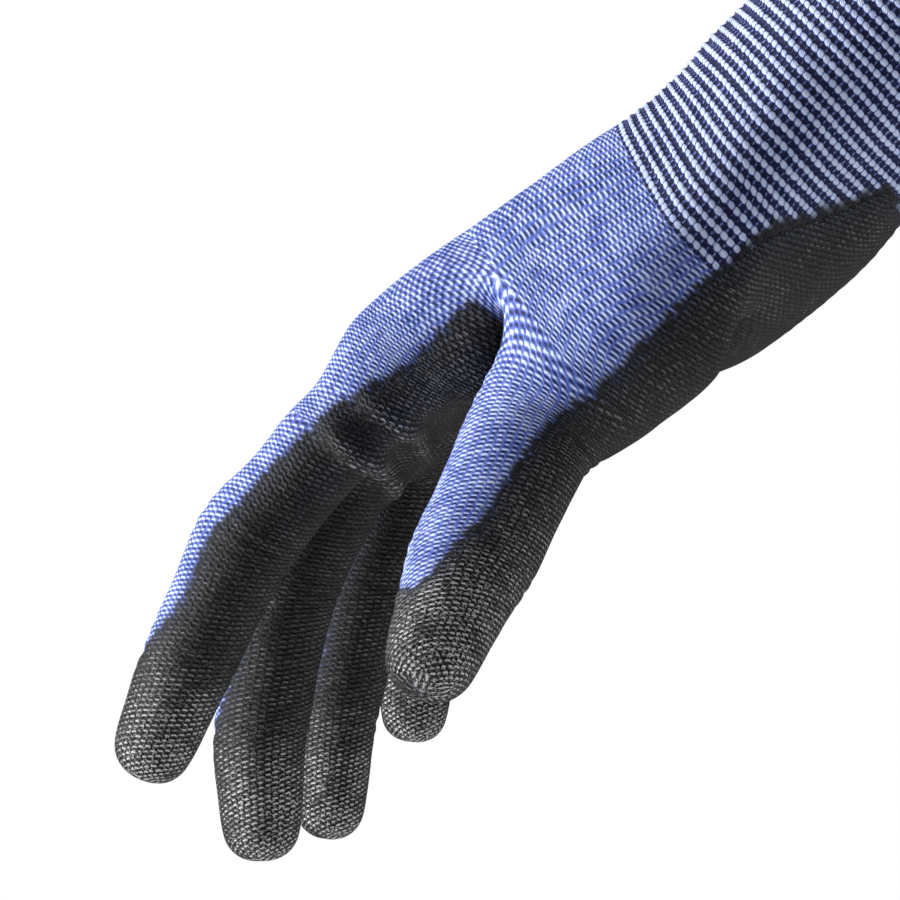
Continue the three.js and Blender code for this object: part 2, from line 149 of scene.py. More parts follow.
# The same along the thumb.
THUMB_WEB_ALONG = 33.5
WEB_LEVEL = 33               # where the web is straight to the side of the thumb
THUMB_RINGS = (38, 43.5, 49, 55, 62, 69, 75, 81, 87.5, 94.5, 101.6)
THUMB_OFFSET = THUMB_WEB_RING - THUMB_WEB_ALONG

# The web beside the thumb, in the hand frame: its middle, its back edge and its palm edge.
HAND_WEB = np.array((-44.5, -35, -1.5))
HAND_WEB_BACK = np.array((-41, -37, 4))
HAND_WEB_PALM = np.array((-41.5, -27.5, -8.5))

# The upper edge of the coating on the hand: hand frame X and height. It runs lower on the side that
# carries the thumb, from the cuff to the thumb's root.
COATING_EDGE_LINE = np.array([
    (-105, -13), (-86, -4.5), (-76, -3.5), (-66, -4), (-58, -1.5), (-51, 0.5), (-42, -2), (-30, -10),
    (-9, -17), (70, -16),
])
THENAR_EDGE_LINE = np.array([
    (-45, -31), (-36, -30.5), (-28, -29), (-20, -26.3), (-11, -23.2), (-4, -20.8), (3, -18.8), (12, -17.8),
    (70, -17.5),
])
HEEL_COATING_X = -47         # edge of the coating on the cuff

# The arc of coating round a finger and the thumb: share of its length, middle of the arc and half its width
# in degrees. Angles start at the side and turn to the back, so the pad of a finger is at -90.
FINGER_COATING = np.array([
    (0.1, -90, 82), (0.2, -90, 90), (0.3, -90, 98), (0.42, -90, 102), (0.52, -90, 114), (0.64, -90, 112),
    (0.7, -90, 124), (0.76, -90, 152), (0.84, -90, 240),
])
THUMB_COATING = np.array([
    (0.31, 14, 120), (0.41, 4, 110), (0.5, -8, 102), (0.57, -15, 100), (0.64, -18, 101), (0.7, -20, 104),
    (0.76, -18, 119), (0.81, -9, 139), (0.84, 5, 170), (0.87, 0, 220),
])
FINGER_PAD_ANGLE, THUMB_PAD_ANGLE = -90, -20
# Angles round a finger and the thumb, on whose side highlights are painted at the tips.
FINGER_HIGHLIGHT_SIDE, THUMB_HIGHLIGHT_SIDE = 205, -120
FINGER_ARC_SPAN, THUMB_ARC_SPAN = (8, 24), (32, 44)      # where the arcs take over from the hand's edge

# Layers of noise: height, size of the features in millimetres, and a seed.
SLACK = ((0.32, 15, 3), (0.12, 5, 8))
RAGGED_EDGE = ((0.6, 8, 50), (0.35, 2.2, 60))
RAGGED_HEEL = ((3, 6, 70),)
# Patches of the highlights painted on the fingertips and on the palm.
TIP_HIGHLIGHT_NOISE = ((0.9, 5, 90), (0.4, 1.6, 95))
PALM_HIGHLIGHT_NOISE = ((0.7, 4, 92),)


# ---- frames ------------------------------------------------------------------

def unit(v):
    return v / np.linalg.norm(v)


def turned(v, axis, angle):
    """v turned about a unit axis, by an angle in radians."""
    return (v * math.cos(angle) + np.cross(axis, v) * math.sin(angle)
            + axis * (axis @ v) * (1 - math.cos(angle)))


X_AXIS, Y_AXIS, Z_AXIS = np.eye(3)
HAND_AXES = np.array([turned(axis, Y_AXIS, WRIST_EXTENSION) for axis in np.eye(3)])
WRIST = np.array((WRIST_X, 0, 0))


def hand_point(p):
    """A point of the hand frame in the part's frame."""
    return WRIST + np.asarray(p, float) @ HAND_AXES


def hand_direction(v):
    """A direction of the hand frame in the part's frame."""
    return np.asarray(v, float) @ HAND_AXES


def to_hand(points):
    """Points of the part's frame in the hand frame."""
    return (points - WRIST) @ HAND_AXES.T


def smoothstep(x, low, high):
    t = np.clip((x - low) / (high - low), 0, 1)
    return t * t * (3 - 2 * t)


def added(name, data):
    """A new object in the scene."""
    obj = bpy.data.objects.new(name, data)
    bpy.context.scene.collection.objects.link(obj)
    return obj


# ---- centre lines ------------------------------------------------------------

BLOCK = 4000                 # points measured at a time
MEASURE_START = -12          # measures begin before the first joint
MEASURE_SAMPLES = 160


class Limb:
    """A finger or the thumb: a centre line that bends at its joints, in the part's frame."""

    def __init__(self, start, straight, across, lengths, bends):
        self.across = hand_direction(across)
        self.lengths = lengths
        self.joints = [hand_point(start)]
        self.directions = []
        bend = 0
        for length, angle in zip(lengths, bends):
            bend += math.radians(angle)
            direction = hand_direction(turned(straight, across, -bend))
            self.directions.append(direction)
            self.joints.append(self.joints[-1] + direction * length)
        self.starts = np.concatenate([[0], np.cumsum(lengths)])

    def at(self, s):
        """The centre and the direction at a distance along the limb."""
        for i in (1, 2):
            offset = s - self.starts[i]
            if abs(offset) < BEND_ROUNDING:
                before, after = self.directions[i - 1], self.directions[i]
                t = (offset + BEND_ROUNDING) / (2 * BEND_ROUNDING)
                centre = (self.joints[i] - before * BEND_ROUNDING * (1 - t) ** 2
                          + after * BEND_ROUNDING * t ** 2)
                return centre, unit(before * (1 - t) + after * t)
        i = min(2, max(0, int(np.searchsorted(self.starts, s)) - 1))
        return self.joints[i] + self.directions[i] * (s - self.starts[i]), self.directions[i]

    def frame(self, s):
        """The centre, the direction to the little finger's side and the direction to the back."""
        centre, direction = self.at(s)
        return centre, self.across, np.cross(self.across, direction)

    def measure(self, points):
        """How far along the limb points are, and their sideways and upward offsets from its centre line."""
        samples = np.linspace(MEASURE_START, self.starts[-1], MEASURE_SAMPLES)
        frames = [self.frame(s) for s in samples]
        centres = np.array([f[0] for f in frames])
        ups = np.array([f[2] for f in frames])
        nearest = np.empty(len(points), int)
        for i in range(0, len(points), BLOCK):
            block = points[i:i + BLOCK]
            nearest[i:i + BLOCK] = ((block[:, None] - centres) ** 2).sum(2).argmin(1)
        offset = points - centres[nearest]
        directions = np.cross(ups[nearest], self.across)
        along = samples[nearest] + (offset * directions).sum(1)
        return along, offset @ self.across, (offset * ups[nearest]).sum(1)


def make_finger(spec):
    turn = math.radians(spec["spread"])
    return Limb(spec["knuckle"], -turned(X_AXIS, Z_AXIS, turn), turned(Y_AXIS, Z_AXIS, turn),
                spec["lengths"], spec["bends"])


def make_thumb(spec):
    sideways, down = math.radians(spec["azimuth"]), math.radians(spec["drop"])
    straight = np.array([-math.cos(sideways) * math.cos(down),
                         -math.sin(sideways) * math.cos(down), -math.sin(down)])
    level = unit(np.cross(straight, Z_AXIS))
    across = turned(level, straight, math.radians(spec["twist"]))
    return Limb(spec["root"], straight, across, spec["lengths"], spec["bends"])


LIMBS = {name: make_finger(spec) for name, spec in FINGERS.items()}
THUMB_LIMB = make_thumb(THUMB)
NAMES = list(FINGERS)


def body_frame(s):
    """Centre, sideways and upward directions, half width, half depth and squareness of the cuff or hand."""
    columns = [np.interp(s, BODY_SECTIONS[:, 0], BODY_SECTIONS[:, i]) for i in range(1, 8)]
    sideways, upward, half_width, half_depth, slant, pitch, square = columns
    past = s + WRIST_X
    if abs(past) < WRIST_ROUNDING:
        t = (past + WRIST_ROUNDING) / (2 * WRIST_ROUNDING)
        forward = unit(-X_AXIS * (1 - t) - HAND_AXES[0] * t)
        centre = WRIST + WRIST_ROUNDING * (X_AXIS * (1 - t) ** 2 - HAND_AXES[0] * t ** 2)
        up = np.cross(Y_AXIS, forward)
        return centre + up * upward, Y_AXIS, up, half_width, half_depth, square
    if past < 0:
        return np.array((-s, 0, 0), float), Y_AXIS, Z_AXIS, half_width, half_depth, square
    across = turned(Y_AXIS, Z_AXIS, -math.radians(slant))
    up = turned(Z_AXIS, across, -math.radians(pitch))
    return (hand_point((-past, sideways, upward)), hand_direction(across), hand_direction(up),
            half_width, half_depth, square)


# ---- the cage ----------------------------------------------------------------

class Cage:
    """Rings of points joined by quads. Each quad has stitch coordinates and the name of its piece."""

    def __init__(self):
        self.points, self.faces, self.uvs, self.pieces = [], [], [], []

    def add(self, points):
        """Adds points and returns their numbers."""
        first = len(self.points)
        self.points.extend(np.asarray(points, float))
        return list(range(first, len(self.points)))

    def band(self, lower, upper, lower_v, upper_v, piece, wales, closed=True):
        """Quads between two rings. Stitches are spread evenly round each ring."""
        lower_u, upper_u = self.spread(lower, wales, closed), self.spread(upper, wales, closed)
        for i in range(len(lower) if closed else len(lower) - 1):
            j = (i + 1) % len(lower)
            self.faces.append((lower[i], lower[j], upper[j], upper[i]))
            self.uvs.append(((lower_u[i], lower_v), (lower_u[i + 1], lower_v),
                             (upper_u[i + 1], upper_v), (upper_u[i], upper_v)))
            self.pieces.append(piece)

    def spread(self, ring, wales, closed):
        """Stitch numbers at the points of a ring."""
        points = np.array([self.points[i] for i in (ring + ring[:1] if closed else ring)])
        lengths = np.linalg.norm(np.diff(points, axis=0), axis=1)
        return np.concatenate([[0], np.cumsum(lengths) / lengths.sum()]) * wales

    def cap(self, ring, pole, v, pole_v, piece, wales):
        """Closes a ring of an even number of points with quads that meet at a pole."""
        step = wales / len(ring)
        for i in range(0, len(ring), 2):
            a, b, c = ring[i], ring[i + 1], ring[(i + 2) % len(ring)]
            self.faces.append((a, b, c, pole))
            self.uvs.append(((i * step, v), ((i + 1) * step, v), ((i + 2) * step, v),
                             ((i + 1) * step, pole_v)))
            self.pieces.append(piece)


def fit(sides):
    """How much wider than the smooth ring its cage has to be."""
    return 6 / (4 + 2 * math.cos(math.tau / sides))


cage = Cage()


def column_angle(column):
    """Where a column runs round the cuff, in degrees from the little finger's side."""
    if column <= SIDE_COLUMN:
        return FIRST_ANGLE + (SIDE_ANGLE - FIRST_ANGLE) * column / SIDE_COLUMN
    if column <= HAND_COLUMNS:
        share = (column - SIDE_COLUMN) / (HAND_COLUMNS - SIDE_COLUMN)
        return SIDE_ANGLE + (LAST_ANGLE - SIDE_ANGLE) * share
    share = (column - HAND_COLUMNS) / (CUFF_SIDES - HAND_COLUMNS)
    return LAST_ANGLE + (FIRST_ANGLE - 360 - LAST_ANGLE) * share


def bulge(value, square):
    """A sine or cosine bent so that an ellipse turns squarer."""
    return math.copysign(abs(value) ** (2 / square), value)


def body_point(s, degrees):
    """A point round the cuff or hand, at a distance from the mouth."""
    centre, across, up, half_width, half_depth, square = body_frame(s)
    angle = math.radians(degrees)
    scale = fit(CUFF_SIDES)
    return (centre + across * half_width * scale * bulge(math.cos(angle), square)
            + up * half_depth * scale * bulge(math.sin(angle), square))


def thumb_point(s, degrees, scale=1.0):
    """A point round the thumb. The angle starts at the web and turns to the outer side."""
    centre, direction = THUMB_LIMB.at(s)
    root_direction = THUMB_LIMB.directions[0]
    root_centre, _ = THUMB_LIMB.at(WEB_LEVEL)
    to_web = hand_point(HAND_WEB) - root_centre
    to_web = unit(to_web - root_direction * (to_web @ root_direction))
    outward = np.cross(to_web, root_direction)
    axis = np.cross(root_direction, direction)
    if np.linalg.norm(axis) > 1e-6:
        angle = math.acos(np.clip(root_direction @ direction, -1, 1))
        to_web, outward = (turned(v, unit(axis), angle) for v in (to_web, outward))
    angle = math.radians(degrees)
    pad = float(np.interp(s, THUMB_PAD_STATIONS, THUMB_PAD)) * max(0, -math.cos(angle)) ** 2
    radius = (np.interp(s, THUMB["stations"], THUMB["radii"]) + pad) * fit(THUMB_SIDES) * scale
    return centre + radius * (to_web * math.cos(angle) + outward * math.sin(angle))


def thumb_column_angle(column):
    """Degrees from the web, for the columns that leave with the thumb."""
    return 360 - (column - HAND_COLUMNS + 1) * 360 / THUMB_SIDES


def filled(points, share):
    """Pushes the hollows of a ring out towards its taut outline."""
    points = np.array(points)
    taut = points.copy()
    centre = points.mean(axis=0)
    for _ in range(HOLLOW_ROUNDS):
        middle = (np.roll(taut, 1, axis=0) + np.roll(taut, -1, axis=0)) / 2
        hollow = ((middle - taut) * (taut - centre)).sum(axis=1) > 0
        taut[hollow] = middle[hollow]
    return points * (1 - share) + taut * share


def body_ring(s):
    """A ring of the cuff or wrist. Towards the web, its thumb columns swell into the thumb."""
    past = s + WRIST_X
    swell = float(smoothstep(past, *SWELL_SPAN))
    thumb_s = past - THUMB_LAG
    points = []
    for column in range(CUFF_SIDES):
        point = body_point(s, column_angle(column))
        if column > HAND_COLUMNS:
            point = point * (1 - swell) + thumb_point(thumb_s, thumb_column_angle(column)) * swell
        points.append(point)
    return filled(points, 1 - HOLLOW_SHARE * float(smoothstep(past, *HOLLOW_SPAN)))


def build_body():
    """The cuff, wrist and hand, up to the web beside the thumb. Returns the ring there."""
    count = round(RIB_END / CUFF_RING_STEP)
    stations = list(np.linspace(0, RIB_END, count + 1))
    rings = [cage.add(body_ring(s)) for s in stations]
    for i in range(count):
        cage.band(rings[i], rings[i + 1], stations[i], stations[i + 1], "cuff", CUFF_WALES)
    previous, previous_s = rings[-1], RIB_END
    for s, piece in WRIST_RINGS:
        ring = cage.add(body_ring(s))
        cage.band(previous, ring, previous_s, s, piece, WRIST_WALES)
        previous, previous_s = ring, s
    web = []
    for column in range(CUFF_SIDES):
        if column == 0:
            web.append(hand_point(HAND_WEB_BACK))
        elif column == HAND_COLUMNS:
            web.append(hand_point(HAND_WEB_PALM))
        elif column < HAND_COLUMNS:
            web.append(hand_ring_point(THUMB_WEB_RING, column, 0.45))
        else:
            web.append(thumb_point(THUMB_WEB_ALONG, thumb_column_angle(column)))
    ring = cage.add(web)
    cage.band(previous, ring, previous_s, THUMB_WEB_RING, "hand", WRIST_WALES)
    return ring


def hand_ring_point(s, column, even=1.0):
    """A point round the hand beyond the thumb. Columns go from angles round the cuff to even steps across."""
    centre, across, up, half_width, half_depth, square = body_frame(s)
    scale = fit(HAND_SIDES)
    if column in (SIDE_COLUMN, HAND_SIDES - 1):
        side = 1 if column == SIDE_COLUMN else -1
        flat = centre + across * half_width * scale * side
    else:
        on_back = column < SIDE_COLUMN
        share = CORNER_SHARE * (column - BACK_COLUMN if on_back else PALM_COLUMN - column) / 4
        height = (1 - abs(share) ** square) ** (1 / square)
        side = 1 if on_back else -1
        flat = centre + across * half_width * share * scale + up * half_depth * height * scale * side
    if even == 1:
        return flat
    return flat * even + body_point(s, column_angle(column)) * (1 - even)


# The outer corners of a ring across the fingers, in radii of the outer finger.
CORNER_SIDE, CORNER_BACK, CORNER_PALM, EDGE_SIDE = 0.72, 0.78, 0.82, 1.03


def knuckle_ring(s, palm_extra, valley, crown=1.0):
    """A ring across the knuckles or the roots of the fingers, at a distance along them.

    palm_extra is added on the palm side. valley and crown are heights between and on the fingers, in radii.
    """
    spots = [LIMBS[name].frame(s) for name in NAMES]
    radii = [FINGERS[name]["radii"][0] for name in NAMES]
    scale = fit(HAND_SIDES)

    def spot(finger, sideways, upward):
        centre, across, up = spots[finger]
        radius = radii[finger]
        depth = upward * radius if upward > 0 else upward * (radius + palm_extra)
        return centre + across * sideways * radius * FINGER_FLATTEN * scale + up * depth * scale

    def between(finger, upward):
        return (spot(finger, 1, upward) + spot(finger + 1, -1, upward)) / 2

    back = [spot(0, -CORNER_SIDE, CORNER_BACK * crown)]
    palm = []
    for finger in range(4):
        back.append(spot(finger, 0, crown))
        palm.append(spot(finger, 0, -1))
        if finger < 3:
            back.append(between(finger, valley))
            palm.append(between(finger, -valley))
    back.append(spot(3, CORNER_SIDE, CORNER_BACK))
    little_edge = [spot(3, EDGE_SIDE, 0), spot(3, CORNER_SIDE, -CORNER_PALM)]
    index_edge = [spot(0, -CORNER_SIDE, -CORNER_PALM), spot(0, -EDGE_SIDE, 0)]
    return back + little_edge + palm[::-1] + index_edge


def finger_ring(name, s, scale=1.0, radius=None):
    """A ring round a finger, from its back on the index side."""
    centre, across, up = LIMBS[name].frame(s)
    size = (radius or finger_profile(name, s, FINGERS[name]["radii"])) * fit(FINGER_SIDES) * scale
    back = finger_profile(name, s, FINGER_BACK) * scale
    points = []
    for i in range(FINGER_SIDES):
        angle = math.radians(135 - 45 * i)
        height = size + back if i < 3 else size
        points.append(centre + across * math.cos(angle) * size * FINGER_FLATTEN
                      + up * math.sin(angle) * height)
    return points


def finger_profile(name, s, values):
    """A value along a finger, from those at its web, joints, half ways and tip."""
    first, second, third = FINGERS[name]["lengths"]
    tip = FINGERS[name]["radii"][-1]
    places = (WEB_DISTANCE, (WEB_DISTANCE + first) / 2, first, first + second / 2,
              first + second, first + second + third - tip)
    return float(np.interp(s, places, values))


DOME = ((0.5, 0.9), (0.86, 0.56))     # distance past the tip's centre and width, in tip radii
DOME_POLE = 1.06
STRIP_SIDES = 2.6                     # width of the strips before a finger, in sides of its ring


def finger_stations(name):
    """Distances of the rings past the web, with the piece that ends at each."""
    first, second, third = FINGERS[name]["lengths"]
    tip = FINGERS[name]["radii"][-1]
    spans = [(WEB_DISTANCE, first - WEB_DISTANCE, (0.14, 0.32, 0.54, 0.78, 1)),
             (first, second, (0.2, 0.4, 0.6, 0.8, 1)),
             (first + second, third - tip, (0.3, 0.62, 1))]
    stations = [start + length * share for start, length, shares in spans for share in shares]
    pieces = ["root"] * 3 + ["base"] * 4 + ["tip"] * 6
    return stations, pieces


def build_fingers(web_ring):
    """The hand beyond the thumb's web, and the four fingers. Returns the middle of that web."""
    middle = cage.add([hand_point(HAND_WEB)])
    previous = web_ring[:HAND_COLUMNS + 1] + middle
    previous_s = THUMB_WEB_RING
    for s in HAND_RINGS:
        ring = cage.add([hand_ring_point(s, column) for column in range(HAND_SIDES)])
        cage.band(previous, ring, previous_s, s, "hand", HAND_WALES)
        previous, previous_s = ring, s
    knuckles = cage.add(knuckle_ring(1, palm_extra=3, valley=0.94, crown=1.3))
    cage.band(previous, knuckles, previous_s, KNUCKLE_RING, "hand", HAND_WALES)
    roots = cage.add(knuckle_ring(12, palm_extra=2, valley=0.74, crown=0.86))
    cage.band(knuckles, roots, KNUCKLE_RING, ROOT_RING, "hand", HAND_WALES)
    crotch = cage.add(knuckle_ring(WEB_DISTANCE, palm_extra=0.6, valley=0.62))
    middles = []
    for finger in range(3):
        sides = []
        for side, name in ((1, NAMES[finger]), (-1, NAMES[finger + 1])):
            centre, across, _ = LIMBS[name].frame(WEB_DISTANCE)
            sides.append(centre + across * side * FINGERS[name]["radii"][0] * FINGER_FLATTEN)
        middles += cage.add([(sides[0] + sides[1]) / 2])
    for finger, name in enumerate(NAMES):
        build_finger(name, finger, roots, crotch, middles)
    return middle


def build_finger(name, finger, roots, crotch, middles):
    """A finger, from the ring at the finger roots to its tip."""
    piece = name + "_root"
    back = slice(2 * finger, 2 * finger + 3)
    palm = slice(16 - 2 * finger, 19 - 2 * finger)
    wales = FINGER_WALES / FINGER_SIDES * STRIP_SIDES
    strips = [(roots[back], crotch[back]), (roots[palm], crotch[palm])]
    if finger == 0:
        strips.append((roots[18:] + roots[:1], crotch[18:] + crotch[:1]))
    if finger == 3:
        strips.append((roots[8:11], crotch[8:11]))
    for lower, upper in strips:
        cage.band(lower, upper, ROOT_RING, FINGER_OFFSET + WEB_DISTANCE, piece, wales, closed=False)
    right = crotch[9] if finger == 3 else middles[finger]
    left = crotch[19] if finger == 0 else middles[finger - 1]
    ring = rotate_list(crotch[back] + [right] + crotch[palm] + [left], SEAM)
    stations, pieces = finger_stations(name)
    previous_s = WEB_DISTANCE
    for s, part in zip(stations, pieces):
        following = cage.add(rotate_list(finger_ring(name, s), SEAM))
        cage.band(ring, following, FINGER_OFFSET + previous_s, FINGER_OFFSET + s, f"{name}_{part}",
                  FINGER_WALES)
        ring, previous_s = following, s
    tip = FINGERS[name]["radii"][-1]
    close_tip(ring, previous_s, tip, f"{name}_tip", FINGER_WALES, FINGER_OFFSET,
              lambda s, scale: rotate_list(finger_ring(name, s, scale, tip), SEAM), LIMBS[name])


def rotate_list(points, count):
    return points[count:] + points[:count]


def close_tip(ring, start, radius, piece, wales, offset, ring_at, limb):
    """The rounded end of a finger or the thumb."""
    previous_s = start
    for distance, scale in DOME:
        s = start + distance * radius
        following = cage.add(ring_at(s, scale))
        cage.band(ring, following, offset + previous_s, offset + s, piece, wales)
        ring, previous_s = following, s
    centre, direction = limb.at(start)
    pole = cage.add([centre + direction * radius * DOME_POLE])[0]
    cage.cap(ring, pole, offset + previous_s, offset + start + radius, piece, wales)


def build_thumb(web_ring, middle):
    """The thumb beyond its web."""
    ring = web_ring[HAND_COLUMNS:] + web_ring[:1] + middle
    angles = [thumb_column_angle(HAND_COLUMNS + i) for i in range(THUMB_SIDES)]
    previous_s = THUMB_WEB_ALONG
    pieces = ["thumb_root"] * 2 + ["thumb_base"] * 3 + ["thumb_tip"] * 6
    for s, piece in zip(THUMB_RINGS, pieces):
        following = cage.add([thumb_point(s, angle) for angle in angles])
        cage.band(ring, following, THUMB_OFFSET + previous_s, THUMB_OFFSET + s, piece, THUMB_WALES)
        ring, previous_s = following, s
    radius = THUMB["radii"][-1]
    close_tip(ring, previous_s, radius, "thumb_tip", THUMB_WALES, THUMB_OFFSET,
              lambda s, scale: [thumb_point(s, angle, scale) for angle in angles], THUMB_LIMB)


web_ring = build_body()
web_middle = build_fingers(web_ring)
build_thumb(web_ring, web_middle)


# ---- the fine mesh -----------------------------------------------------------

def read(data, name, size, kind=np.float32):
    """All values of one property of a mesh's points, corners or faces."""
    values = np.zeros(size, kind)
    data.foreach_get(name, values)
    return values.astype(float) if kind == np.float32 else values


class Surface:
    """The subdivided cage: points, quads, stitch coordinates, piece of each quad and point normals."""

    def __init__(self, cage):
        names = sorted(set(cage.pieces))
        mesh = bpy.data.meshes.new("cage")
        mesh.from_pydata([tuple(p) for p in cage.points], [], cage.faces)
        uv = mesh.uv_layers.new(name="stitch")
        uv.data.foreach_set("uv", np.array(cage.uvs, np.float32).ravel())
        tag = mesh.attributes.new("piece", "INT", "FACE")
        tag.data.foreach_set("value", [names.index(p) for p in cage.pieces])
        obj = added("cage", mesh)
        modifier = obj.modifiers.new("smooth", "SUBSURF")
        modifier.levels = SUBDIVISIONS
        fine = obj.evaluated_get(bpy.context.evaluated_depsgraph_get()).to_mesh()
        count = len(fine.vertices)
        faces = len(fine.polygons)
        self.points = read(fine.vertices, "co", count * 3).reshape(-1, 3)
        self.faces = read(fine.loops, "vertex_index", faces * 4, np.int32).reshape(-1, 4)
        self.uvs = read(fine.uv_layers["stitch"].data, "uv", faces * 8).reshape(-1, 4, 2)
        tags = read(fine.attributes["piece"].data, "value", faces, np.int32)
        self.pieces = np.array(names)[tags]
        bpy.data.objects.remove(obj)
        bpy.data.meshes.remove(mesh)
        self.find_normals()
        heights = self.points[:, 2] - self.points[:, 2].mean()
        if self.normals[:, 2] @ heights < 0:
            self.faces = self.faces[:, ::-1]
            self.uvs = self.uvs[:, ::-1]
            self.find_normals()

    def find_normals(self):
        corners = self.points[self.faces]
        crosses = np.cross(corners[:, 2] - corners[:, 0], corners[:, 3] - corners[:, 1])
        normals = np.zeros_like(self.points)
        for i in range(4):
            np.add.at(normals, self.faces[:, i], crosses)
        self.normals = normals / np.linalg.norm(normals, axis=1, keepdims=True)


surface = Surface(cage)


# ---- folds and ribs ----------------------------------------------------------

def point_values(values):
    """Averages a value given for each corner of each quad over each point."""
    total, count = np.zeros(len(surface.points)), np.zeros(len(surface.points))
    np.add.at(total, surface.faces.ravel(), values.ravel())
    np.add.at(count, surface.faces.ravel(), 1)
    return total / count


def points_of(*pieces):
    """True for each point that belongs to one of these pieces."""
    chosen = np.zeros(len(surface.points), bool)
    chosen[surface.faces[np.isin(surface.pieces, pieces)].ravel()] = True
    return chosen


def noise_at(points, size, seed):
    """Smooth noise from -1 to 1 at each point, with features of a size in millimetres."""
    return np.array([noise.noise(Vector(p / size + seed)) for p in points])


def layered_noise(points, layers):
    return sum(height * noise_at(points, size, seed) for height, size, seed in layers)


class Place:
    """Where the points of a finger or the thumb are on it."""

    def __init__(self, limb, name, pad, highlight_side, arcs, arc_span):
        self.chosen = points_of(*[f"{name}_{part}" for part in ("root", "base", "tip")])
        self.along, sideways, upward = limb.measure(surface.points[self.chosen])
        self.radius = np.hypot(sideways, upward)
        self.angle = np.degrees(np.arctan2(upward, sideways))
        self.starts = limb.starts
        self.share = self.along / limb.starts[-1]
        self.pad = pad
        self.highlight_side = highlight_side
        self.arcs = arcs
        self.arc_span = arc_span


def degrees_between(angle, other):
    """How far apart two directions round a finger are, from 0 to 180 degrees."""
    return np.abs((angle - other + 180) % 360 - 180)


FINGER_VALUES = (FINGER_PAD_ANGLE, FINGER_HIGHLIGHT_SIDE, FINGER_COATING, FINGER_ARC_SPAN)
THUMB_VALUES = (THUMB_PAD_ANGLE, THUMB_HIGHLIGHT_SIDE, THUMB_COATING, THUMB_ARC_SPAN)
PLACES = [Place(LIMBS[name], name, *FINGER_VALUES) for name in NAMES]
PLACES.append(Place(THUMB_LIMB, "thumb", *THUMB_VALUES))
ALONG = point_values(surface.uvs[:, :, 1])


def fold(distance, width):
    """A rounded ridge of height 1 across a distance."""
    return np.exp(-(distance / width) ** 2)


# Soft wrinkles across the palm at the root of the index finger, in the hand frame.
PALM_FOLD_START = np.array((-77, -36, -6))
PALM_FOLD_LINE = unit(np.array((-0.06, 0.98, -0.15)))
PALM_FOLD_STEP = unit(np.array((-1, -0.06, -0.15)))
PALM_FOLDS = ((-7, 1.7, 0.6), (0.5, 2.3, 2.1), (10, 2.6, 2.5))  # place, width, height


def palm_folds():
    """Wrinkles of the palm, strongest near its index side."""
    local = to_hand(surface.points)
    facing = to_hand(surface.points + surface.normals) - local
    from_start = local - PALM_FOLD_START
    inward = from_start @ PALM_FOLD_LINE
    step = from_start @ PALM_FOLD_STEP + 1.6 * np.sin(inward / 9)
    under = smoothstep(-facing[:, 2] - 0.35 * facing[:, 1], 0.0, 0.7)
    window = under * smoothstep(inward, -9, 4) * smoothstep(-inward, -52, -22)
    height = sum(tall * fold(step - place, width) for place, width, tall in PALM_FOLDS)
    return window * height * points_of("hand", *[name + "_root" for name in NAMES])


CREASE_DEPTHS = ((1, 0.4), (2, 0.25))                 # joint of a limb and depth
CREASE_LINES = ((-3.4, 0.5), (0, 1), (3.2, 0.6))      # distance past the joint and share of the depth


def surface_relief():
    """Height added to each point: cuff ribs, creases inside the joints and slack in the knit."""
    points = surface.points
    relief = layered_noise(points, SLACK)
    cuff = points_of("cuff")
    fade = smoothstep(RIB_END - ALONG, -0.3, 2.4)
    swell = 1 + 0.35 * noise_at(points, 9, 20)
    bare = 1 - 0.85 * smoothstep(DEPTH, -1, 2.5)
    relief += cuff * RIDGE_HEIGHT * np.cos(math.tau * ALONG / RIDGE) * fade * swell * bare
    for place in PLACES:
        palm = smoothstep(-degrees_between(place.angle, place.pad), -105, -40)
        wander = 0.8 * noise_at(points[place.chosen], 7, 30)
        along = place.along + wander
        height = np.zeros(place.chosen.sum())
        for joint, depth in CREASE_DEPTHS:
            past = along - place.starts[joint]
            for offset, share in CREASE_LINES:
                height -= palm * depth * share * fold(past - offset, 1.15)
            height += palm * depth * 0.4 * (fold(past - 1.7, 1.1) + fold(past + 1.7, 1.1))
            height += (1 - palm) * 0.16 * np.sin(along * 1.9) * fold(past, 6)
        relief[place.chosen] += height
    return relief + palm_folds()


# ---- where the coating lies --------------------------------------------------

def coating_depth():
    """How far each point lies inside the edge of the coating, in millimetres."""
    points = surface.points
    local = to_hand(points)
    edge = np.interp(local[:, 0], COATING_EDGE_LINE[:, 0], COATING_EDGE_LINE[:, 1])
    thenar_edge = np.interp(local[:, 0], THENAR_EDGE_LINE[:, 0], THENAR_EDGE_LINE[:, 1])
    facing = to_hand(points + surface.normals) - local
    on_thumb_side = (smoothstep(-facing[:, 1], -0.1, 0.35) * smoothstep(local[:, 0], -50, -42)
                     * smoothstep(-local[:, 1], 0, 12))
    depth = edge * (1 - on_thumb_side) + thenar_edge * on_thumb_side - local[:, 2]
    for place in PLACES:
        shares, middles, half_widths = place.arcs.T
        middle = np.interp(place.share, shares, middles)
        half_width = np.interp(place.share, shares, half_widths)
        own = np.radians(half_width - degrees_between(place.angle, middle)) * place.radius
        share = smoothstep(place.along, *place.arc_span)
        depth[place.chosen] = depth[place.chosen] * (1 - share) + own * share
    ragged = layered_noise(points, RAGGED_EDGE)
    heel = HEEL_COATING_X - points[:, 0] + layered_noise(points, RAGGED_HEEL)
    return np.minimum(depth + ragged, heel + ragged)


DEPTH = coating_depth()
surface.points += surface.normals * surface_relief()[:, None]
surface.find_normals()


# ---- meshes ------------------------------------------------------------------

